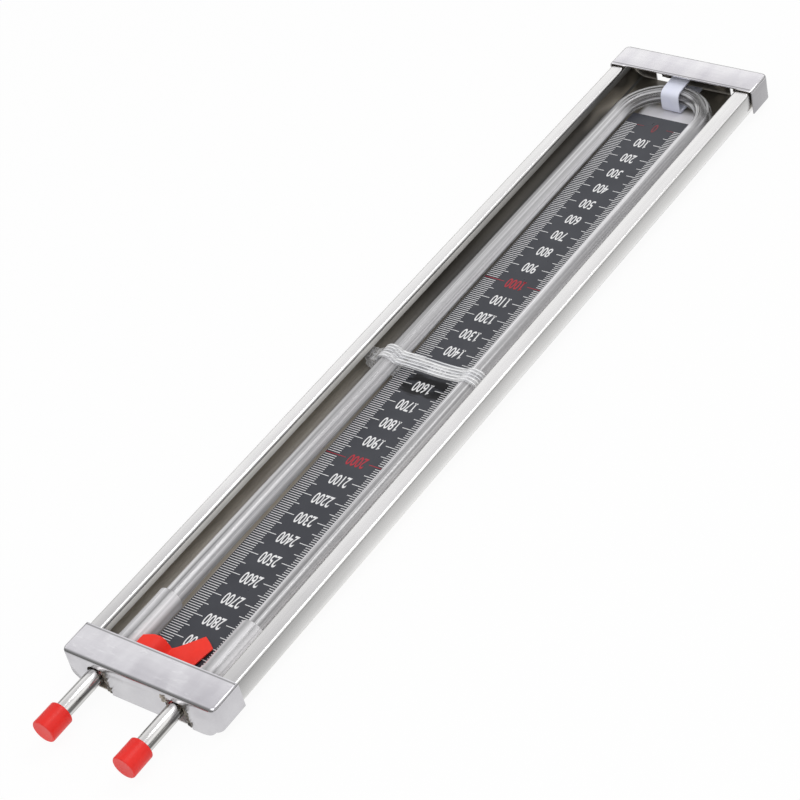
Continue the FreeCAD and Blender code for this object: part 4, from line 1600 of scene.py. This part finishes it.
@dataclass
class ScalePlate:
    """The ruled plate: marks every 10, numbers every 100, red at each 1000."""

    top: float = 4.3 * MM
    zero_y: float = 157.4 * MM
    pitch: float = 1.02 * MM
    tens: int = 300
    outer: float = 13.5 * MM
    short_inner: float = 8.3 * MM
    medium_inner: float = 6.5 * MM
    long_inner: float = 5.03 * MM
    stroke: float = 0.26 * MM
    ink: float = 0.03 * MM
    mark_lift: float = 0.012 * MM
    number_lift: float = 0.03 * MM
    digit_size: float = 7.3 * MM
    digit_squeeze: float = 0.52
    digit_weight: float = 0.09 * MM
    stem_at: float = 0.061
    bar: float = 0.08
    foot_width: float = 0.34
    flag_length: float = 0.20
    flag_aside: float = 0.09
    flag_drop: float = 0.10
    flag_turn: float = math.radians(38.0)

    def build(self) -> list[bpy.types.Object]:
        """Dress the plate and print it.

        Returns:
            The printed pieces.
        """
        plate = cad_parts["scale_plate"]
        plate.data.materials.clear()
        plate.data.materials.append(PlateFinish().build())
        white = WHITE_INK.build()
        red = RED_INK.build()
        short = (self.short_inner, self.outer)
        medium = (self.medium_inner, self.outer)
        long = (self.long_inner, self.outer)
        return [
            self.marks("marks_short", white, short, first=1, last=4, step=1, group=5),
            self.marks("marks_medium", white, medium, first=5, last=5, step=1, group=10),
            self.marks("marks_long", white, long, first=10, last=90, step=10, group=100),
            self.marks("marks_first", white, short, first=0, last=0, step=1, group=self.tens),
            self.marks("marks_zero", red, (self.long_inner, self.short_inner), first=0, last=0, step=1, group=self.tens),
            self.marks("marks_thousand", red, long, first=100, last=100, step=1, group=100),
            self.numbers("numbers_white", Ink.WHITE, white),
            self.numbers("numbers_red", Ink.RED, red),
        ]

    def marks(
        self, name: str, ink: bpy.types.Material, reach: tuple[float, float], first: int, last: int, step: int, group: int,
    ) -> bpy.types.Object:
        """Print one kind of mark on both sides of the plate, counted in tens.

        Args:
            name: the new object's name.
            ink: their finish.
            reach: how near the middle and how far out the marks reach.
            first: the first mark of the first group.
            last: the last mark of that group.
            step: the count from mark to mark in a group.
            group: the count from group to group.

        Returns:
            The marks.
        """
        inner, outer = reach
        Bench.clear()
        bpy.ops.mesh.primitive_plane_add(size=1.0, location=(0.0, 0.0, 0.0))
        piece = bpy.context.object
        piece.name = name
        piece.scale = (outer - inner, self.stroke, 1.0)
        piece.location = ((outer + inner) / 2, self.zero_y - first * self.pitch, self.top + self.mark_lift)
        Bench.seat(piece)
        Bench.edit(piece)
        bpy.ops.mesh.select_all(action="SELECT")
        Bench.push((0.0, 0.0, self.ink))
        Bench.leave()
        Bench.outward(piece)
        Bench.modify(piece, "MIRROR", use_axis=(True, False, False), use_mirror_merge=False)
        self.repeat(piece, (last - first) // step + 1, step)
        self.repeat(piece, (self.tens - 1 - first) // group + 1, group)
        Bench.outward(piece)
        return Bench.finish(piece, ink, Slot.PRINT)

    def repeat(self, piece: bpy.types.Object, count: int, step: int) -> None:
        """Copy a mark along the plate.

        Args:
            piece: the mark.
            count: how many there are in all.
            step: the count of tens from one to the next.
        """
        if count > 1:
            Bench.modify(
                piece, "ARRAY", count=count, use_relative_offset=False, use_constant_offset=True,
                constant_offset_displace=(0.0, -step * self.pitch, 0.0),
            )

    def numbers(self, name: str, colour: Ink, ink: bpy.types.Material) -> bpy.types.Object:
        """Print the numbers of one colour, upside down as the plate has them.

        Args:
            name: the new object's name.
            colour: which of them.
            ink: their finish.

        Returns:
            The numbers, as one mesh.
        """
        made: list[bpy.types.Object] = []
        for value in range(0, self.tens * 10, 100):
            is_red = value % 1000 == 0
            if is_red == (colour is Ink.RED):
                made.append(self.number(value))
        joined = Bench.join(made)
        joined.name = name
        Bench.outward(joined, 1e-7)
        return Bench.finish(joined, ink, Slot.PRINT)

    def number(self, value: int) -> bpy.types.Object:
        """Make one number as a thin raised mesh.

        Args:
            value: what it says.

        Returns:
            The number, in its place.
        """
        Bench.clear()
        bpy.ops.object.text_add(location=(0.0, 0.0, 0.0))
        piece = bpy.context.object
        words = piece.data
        words.body = str(value)
        words.size = self.digit_size
        words.align_x = "CENTER"
        words.align_y = "CENTER"
        words.extrude = self.ink / 2
        words.offset = self.digit_weight
        words.resolution_u = 4
        bpy.ops.object.convert(target="MESH")
        piece = bpy.context.object
        if str(value).startswith("1"):
            self.foot(piece)
        piece.scale = (self.digit_squeeze, 1.0, 1.0)
        piece.rotation_euler = (0.0, 0.0, math.pi)
        piece.location = (0.0, self.zero_y - value / 10 * self.pitch, self.top + self.number_lift)
        Bench.seat(piece)
        return piece

    def foot(self, piece: bpy.types.Object) -> None:
        """Add the foot and the flag of the figure 1, at the left end of a number that is still upright.

        Args:
            piece: the number's mesh.
        """
        spots = [vert.co for vert in piece.data.vertices]
        stem = min(spot.x for spot in spots) + self.stem_at * self.digit_size
        low = min(spot.y for spot in spots) + 0.1 * MM
        top = max(spot.y for spot in spots) - self.flag_drop * self.digit_size
        thick = self.bar * self.digit_size
        bar = Bench.block("foot", (self.foot_width * self.digit_size, thick, self.ink), (stem, low + thick / 2, 0.0))
        flag = Bench.block(
            "flag", (self.flag_length * self.digit_size, thick, self.ink),
            (stem - self.flag_aside * self.digit_size, top, 0.0), self.flag_turn,
        )
        Bench.join([piece, bar, flag])


@dataclass
class FoamPad:
    """A strip of foam that carries the plate above the channel's floor."""

    node: str
    near_end: float
    far_end: float
    half_width: float = 11.0 * MM
    floor: float = 0.7 * MM
    top: float = 3.3 * MM
    rounding: float = 0.5 * MM

    def build(self) -> bpy.types.Object:
        """Cut the strip and soften its edges.

        Returns:
            The strip.
        """
        size = (self.half_width * 2, self.far_end - self.near_end, self.top - self.floor)
        middle = (0.0, (self.far_end + self.near_end) / 2, (self.top + self.floor) / 2)
        piece = Bench.block(f"{self.node}_foam", size, middle)
        Bench.edit(piece)
        bpy.ops.mesh.select_all(action="SELECT")
        Bench.bevel(self.rounding, 3)
        Bench.leave()
        Bench.outward(piece)
        Bench.smooth(piece)
        Bench.finish(piece, PAD_FOAM.build(), Slot.FOAM, self.node)
        return piece


# Tie, strap and strip


@dataclass
class TubeTie:
    """The clear ribbed band round both limbs, with its crumpled head."""

    middle_y: float = 0.2 * MM
    width: float = 7.3 * MM
    thickness: float = 1.0 * MM
    web: float = 0.72 * MM
    rib_rise: float = 0.16 * MM
    limb_x: float = PLANE.limb_x
    limb_z: float = 7.02 * MM
    limb_radius: float = 3.5 * MM
    gap: float = 0.15 * MM
    ribs: int = 5
    loop_z: float = 5.5 * MM
    head_x: float = -24.6 * MM
    head_size: Spot = (5.0 * MM, 6.6 * MM, 4.4 * MM)

    def route(self) -> list[tuple[float, float]]:
        """The band's middle line, from under the head over both limbs and back below the plate.

        Returns:
            Its (x, z) points.
        """
        reach = self.limb_radius + self.gap + self.thickness / 2
        points: list[tuple[float, float]] = []
        for angle in arc_run(math.radians(200.0), math.radians(38.0), 14):
            points.append((-self.limb_x + reach * math.cos(angle), self.limb_z + reach * math.sin(angle)))
        over_plate = (
            (-13.0, 2.35), (-10.5, 2.2), (-6.0, 2.45), (-1.0, 2.3), (4.0, 2.05), (9.0, 2.1), (12.4, 2.5),
        )
        points += [(x * MM, self.limb_z + rise * MM) for x, rise in over_plate]
        for angle in arc_run(math.radians(140.0), math.radians(66.0), 7):
            points.append((self.limb_x + reach * math.cos(angle), self.limb_z + reach * math.sin(angle)))
        down_right = ((20.5, 3.6), (21.4, 2.5), (21.6, 0.8), (21.4, -1.0), (20.4, -2.9), (18.6, -4.0))
        points += [(x * MM, self.limb_z + rise * MM) for x, rise in down_right]
        under_plate = ((17.2, 2.9), (14.0, 2.5), (6.0, 2.5), (-6.0, 2.5), (-14.0, 2.5), (-17.2, 2.9), (-20.6, 4.6))
        points += [(x * MM, z * MM) for x, z in under_plate]
        return points

    def build(self) -> list[bpy.types.Object]:
        """Bend the ribbed band round the limbs and crumple its head.

        Returns:
            The band and its head.
        """
        low, high = self.middle_y - self.width / 2, self.middle_y + self.width / 2
        band = Bench.sheet("tie_band", self.route(), low, high, self.ribs * 4 - 1)
        Bench.outward(band)
        Bench.modify(band, "SOLIDIFY", thickness=self.web, offset=0.0, use_even_offset=True)
        self.raise_ribs(band)
        Bench.outward(band)
        Bench.modify(band, "SUBSURF", levels=1, render_levels=1)
        Bench.smooth(band, 60.0)
        Bench.finish(band, BAND_PLASTIC.build(), Slot.BAND, "tube_tie")
        return [band, self.head()]

    def raise_ribs(self, band: bpy.types.Object) -> None:
        """Lift narrow ribs along the band, and note how high they stand on its outer face.

        Args:
            band: the band with its thickness.
        """
        low = self.middle_y - self.width / 2
        middle = Vector((0.0, self.middle_y, self.loop_z))
        normals = [vert.normal.copy() for vert in band.data.vertices]
        height = band.data.attributes.new("rib_height", "FLOAT", "POINT")
        for vert, normal, value in zip(band.data.vertices, normals, height.data):
            share = (vert.co.y - low) / self.width * self.ribs
            wave = math.cos((share - 0.5) * 2.0 * math.pi)
            outer = normal.dot(vert.co - middle) > 0.0
            value.value = max(0.0, wave) ** 2.0 if outer else 0.0
            flat = Vector((normal.x, 0.0, normal.z))
            if flat.length > 0.3:
                vert.co += flat.normalized() * wave * self.rib_rise

    def head(self) -> bpy.types.Object:
        """Model the crumpled head beside the left limb.

        Returns:
            The head.
        """
        middle = Vector((self.head_x, self.middle_y, self.loop_z))
        piece = Bench.block("tie_head", self.head_size, middle)
        Bench.edit(piece)
        bpy.ops.mesh.select_all(action="SELECT")
        bpy.ops.mesh.subdivide(number_cuts=9)
        Bench.leave()
        for vert in piece.data.vertices:
            spot = vert.co
            wave = math.sin(spot.y * 2600.0 + spot.x * 900.0) * 0.35 + math.sin(spot.x * 3300.0 + spot.z * 2100.0) * 0.3
            vert.co += (spot - middle).normalized() * wave * MM
        Bench.modify(piece, "SUBSURF", levels=2, render_levels=2)
        Bench.outward(piece)
        Bench.smooth(piece, 60.0)
        return Bench.finish(piece, HEAD_PLASTIC.build(), Slot.BAND)


@dataclass
class BendStrap:
    """The white strap over the glass bend, with its ends under the far cap."""

    middle_x: float = -1.5 * MM
    width: float = 7.8 * MM
    thickness: float = 0.88 * MM

    @staticmethod
    def route() -> list[tuple[float, float]]:
        """The strap's middle line as (y, z), from under the cap over the bend and back below it."""
        points = (
            (190.6, 12.7), (187.5, 12.2), (184.0, 11.4), (181.2, 10.85), (178.5, 10.7), (175.8, 10.65), (174.0, 10.4),
            (172.8, 9.7), (172.2, 8.5), (172.15, 6.0), (172.2, 3.4), (172.7, 2.1), (174.0, 1.55), (178.0, 1.5), (184.0, 1.5),
            (190.4, 1.5),
        )
        return [(y * MM, z * MM) for y, z in points]

    def build(self) -> bpy.types.Object:
        """Fold the strap and give it its thickness.

        Returns:
            The strap.
        """
        piece = Bench.sheet("strap_tape", self.route(), -self.width / 2, self.width / 2, 11)
        piece.rotation_euler = (0.0, 0.0, math.pi / 2)
        piece.location = (self.middle_x, 0.0, 0.0)
        Bench.seat(piece)
        Bench.outward(piece)
        Bench.thicken(piece, self.thickness)
        Bench.ease(piece, 0.15 * MM, 50.0)
        Bench.modify(piece, "SUBSURF", levels=1, render_levels=1)
        Bench.smooth(piece, 60.0)
        return Bench.finish(piece, STRAP_WEAVE.build(), Slot.STRAP, "bend_strap")


@dataclass
class RedStrip:
    """The folded red strip that runs out from under the near cap."""

    near_end: float = -157.6 * MM
    thickness: float = 0.765 * MM
    taper: float = 0.34

    @staticmethod
    def columns() -> list[tuple[float, float, float]]:
        """The strip from its left end to its right one.

        Returns:
            (x, height, where its far edge lies) at each column.
        """
        columns = (
            (-13.0, 10.6, -147.2), (-11.4, 10.5, -146.2), (-9.6, 10.4, -145.3), (-7.7, 10.1, -144.9), (-6.4, 9.0, -144.7),
            (-5.5, 7.0, -144.6), (-4.7, 5.3, -144.6), (-3.2, 5.1, -143.2), (-1.0, 5.3, -140.8), (1.4, 5.6, -138.2),
            (3.4, 5.9, -136.1), (5.8, 5.75, -137.4), (8.2, 5.3, -138.9),
        )
        return [(x * MM, height * MM, edge * MM) for x, height, edge in columns]

    def build(self) -> bpy.types.Object:
        """Fold the strip, cut its far edge and give it its thickness.

        Returns:
            The strip.
        """
        columns = self.columns()
        far = max(edge for _, _, edge in columns)
        piece = Bench.sheet("strip_film", [(x, z) for x, z, _ in columns], self.near_end, far, 13)
        for vert in piece.data.vertices:
            edge = self.edge_at(vert.co.x, columns)
            share = (vert.co.y - self.near_end) / (far - self.near_end)
            vert.co.y = self.near_end + (edge - self.near_end) * share
            vert.co.x -= max(0.0, vert.co.x) * self.taper * (1.0 - share)
        Bench.outward(piece)
        Bench.thicken(piece, self.thickness)
        Bench.ease(piece, 0.12 * MM, 50.0)
        Bench.smooth(piece, 40.0)
        return Bench.finish(piece, STRIP_FILM.build(), Slot.FILM, "red_strip")

    @staticmethod
    def edge_at(x: float, columns: list[tuple[float, float, float]]) -> float:
        """Where the far edge lies in the column nearest to a place across."""
        nearest = min(columns, key=lambda column: abs(column[0] - x))
        return nearest[2]


# Floor, light and camera


@dataclass
class Studio:
    """A plain pale floor, soft light, and the photograph's camera."""

    lens: float = 108.52
    camera_spot: Spot = (0.4484, -0.4798, 0.5483)
    camera_right: Spot = (0.8066, 0.5587, -0.1931)
    camera_up: Spot = (-0.25275, 0.62133, 0.74167)
    camera_back: Spot = (0.53434, -0.54941, 0.64236)
    sensor: float = 36.0
    fill: float = 0.62
    key: float = 4.0
    floor_size: float = 6.0
    floor_gap: float = 0.1 * MM
    floor_glow: float = 0.94

    def build(self) -> None:
        """Set up the view, the world, the floor, the lamps and the camera."""
        bpy.context.scene.view_settings.view_transform = "Standard"
        self.world()
        self.floor()
        self.lamp("lamp_key", spot=(0.25, -0.6, 1.1), power=self.key, width=0.9, length=0.9)
        self.lamp("lamp_back", spot=(0.33, 0.56, 1.2), power=self.key * 0.75, width=0.45, length=0.6)
        self.camera()

    def world(self) -> None:
        """Even light, a white backdrop for the eye and the glass, and a dimmer room for what metal mirrors."""
        world = bpy.data.worlds.new("studio_world")
        bpy.context.scene.world = world
        world.use_nodes = True
        nodes = Nodes(world.node_tree)
        path = nodes.node("ShaderNodeLightPath", {}).outputs
        light = nodes.node("ShaderNodeBackground", {"Color": WHITE, "Strength": self.fill})
        backdrop = nodes.node("ShaderNodeBackground", {"Color": WHITE, "Strength": 1.0})
        room = nodes.node("ShaderNodeBackground", {"Color": self.mirrored_room(nodes), "Strength": 1.0})
        seen = nodes.larger(path["Is Camera Ray"], path["Is Transmission Ray"])
        shown = nodes.mix(seen, nodes.mix(path["Is Glossy Ray"], light, room), backdrop)
        nodes.node("ShaderNodeOutputWorld", {"Surface": shown.outputs[0]})

    @staticmethod
    def mirrored_room(nodes: Nodes) -> bpy.types.NodeSocket:
        """The room that polished metal mirrors: a dark rim low down, pale walls and a greyer ceiling.

        Args:
            nodes: the world's nodes.

        Returns:
            Its colour, by direction.
        """
        direction = nodes.node("ShaderNodeTexCoord", {}).outputs["Generated"]
        height = nodes.node("ShaderNodeSeparateXYZ", {"Vector": direction}).outputs["Z"]
        return nodes.ramp(height, [
            (0.0, (0.10, 0.095, 0.09)), (0.12, (0.16, 0.155, 0.15)), (0.26, (0.66, 0.66, 0.66)), (0.44, (0.97, 0.97, 0.97)),
            (0.56, (0.92, 0.92, 0.925)), (0.70, (0.76, 0.755, 0.77)), (0.85, (0.66, 0.655, 0.67)), (1.0, (0.60, 0.60, 0.61)),
        ])

    def floor(self) -> None:
        """A wide pale floor that keeps a faint shadow."""
        Bench.clear()
        bpy.ops.mesh.primitive_plane_add(size=self.floor_size, location=(0.0, 0.0, -self.floor_gap))
        piece = bpy.context.object
        piece.name = "studio_floor"
        material = bpy.data.materials.new("floor_pale")
        material.use_nodes = True
        nodes = Nodes(material.node_tree)
        path = nodes.node("ShaderNodeLightPath", {}).outputs
        paint = nodes.node("ShaderNodeBsdfDiffuse", {"Color": (0.93, 0.93, 0.925)})
        glow = nodes.node("ShaderNodeEmission", {"Color": WHITE, "Strength": 1.0})
        seen = nodes.larger(path["Is Camera Ray"], path["Is Glossy Ray"])
        shown = nodes.mix(nodes.times(seen, self.floor_glow), paint, glow)
        nodes.node("ShaderNodeOutputMaterial", {"Surface": shown.outputs[0]})
        piece.data.materials.append(material)

    @staticmethod
    def lamp(name: str, spot: Spot, power: float, width: float, length: float) -> None:
        """Hang a lamp that points at the object.

        Args:
            name: the lamp's name.
            spot: where it hangs.
            power: its watts.
            width: its size across.
            length: its size along.
        """
        data = bpy.data.lights.new(name, "AREA")
        data.shape = "RECTANGLE"
        data.energy = power
        data.size = width
        data.size_y = length
        lamp = bpy.data.objects.new(name, data)
        bpy.context.scene.collection.objects.link(lamp)
        lamp.location = spot
        lamp.rotation_euler = (-Vector(spot)).to_track_quat("-Z", "Y").to_euler()

    def camera(self) -> None:
        """Place the camera where the photograph was taken from."""
        data = bpy.data.cameras.new("photo_camera")
        data.lens = self.lens
        data.sensor_width = self.sensor
        data.clip_start = 0.01
        data.clip_end = 20.0
        camera = bpy.data.objects.new("photo_camera", data)
        bpy.context.scene.collection.objects.link(camera)
        turn = Matrix((self.camera_right, self.camera_up, self.camera_back)).transposed().to_4x4()
        camera.matrix_world = Matrix.Translation(Vector(self.camera_spot)) @ turn
        bpy.context.scene.camera = camera


def main() -> None:
    """Build every piece in order."""
    logging.basicConfig(level=logging.INFO, format="%(name)s: %(message)s")
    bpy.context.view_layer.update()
    Studio().build()
    Channel().build()
    # Each cap gets its own painted light, and painted shade on its side walls.
    EndCap("cap_near", "near_end_cap", face_y=-165.8 * MM, heading=0.0, wall_tone=0.73, bright=0.97).build()
    EndCap("cap_far", "far_end_cap", face_y=192.1 * MM, heading=math.pi, wall_tone=0.42, bright=1.13).build()
    for tab in TORN_TABS:
        tab.build()
    GlassTube().build()
    for kind in (Hose, Pipe, PlugCap):
        for side in Side:
            kind(side).build()
    ScalePlate().build()
    FoamPad("pad_near", near_end=-146.2 * MM, far_end=-5.95 * MM).build()
    FoamPad("pad_far", near_end=6.35 * MM, far_end=161.0 * MM).build()
    TubeTie().build()
    BendStrap().build()
    RedStrip().build()
    Bench.clear()
    LOG.info("sizes written")


if __name__ == "__main__":
    main()
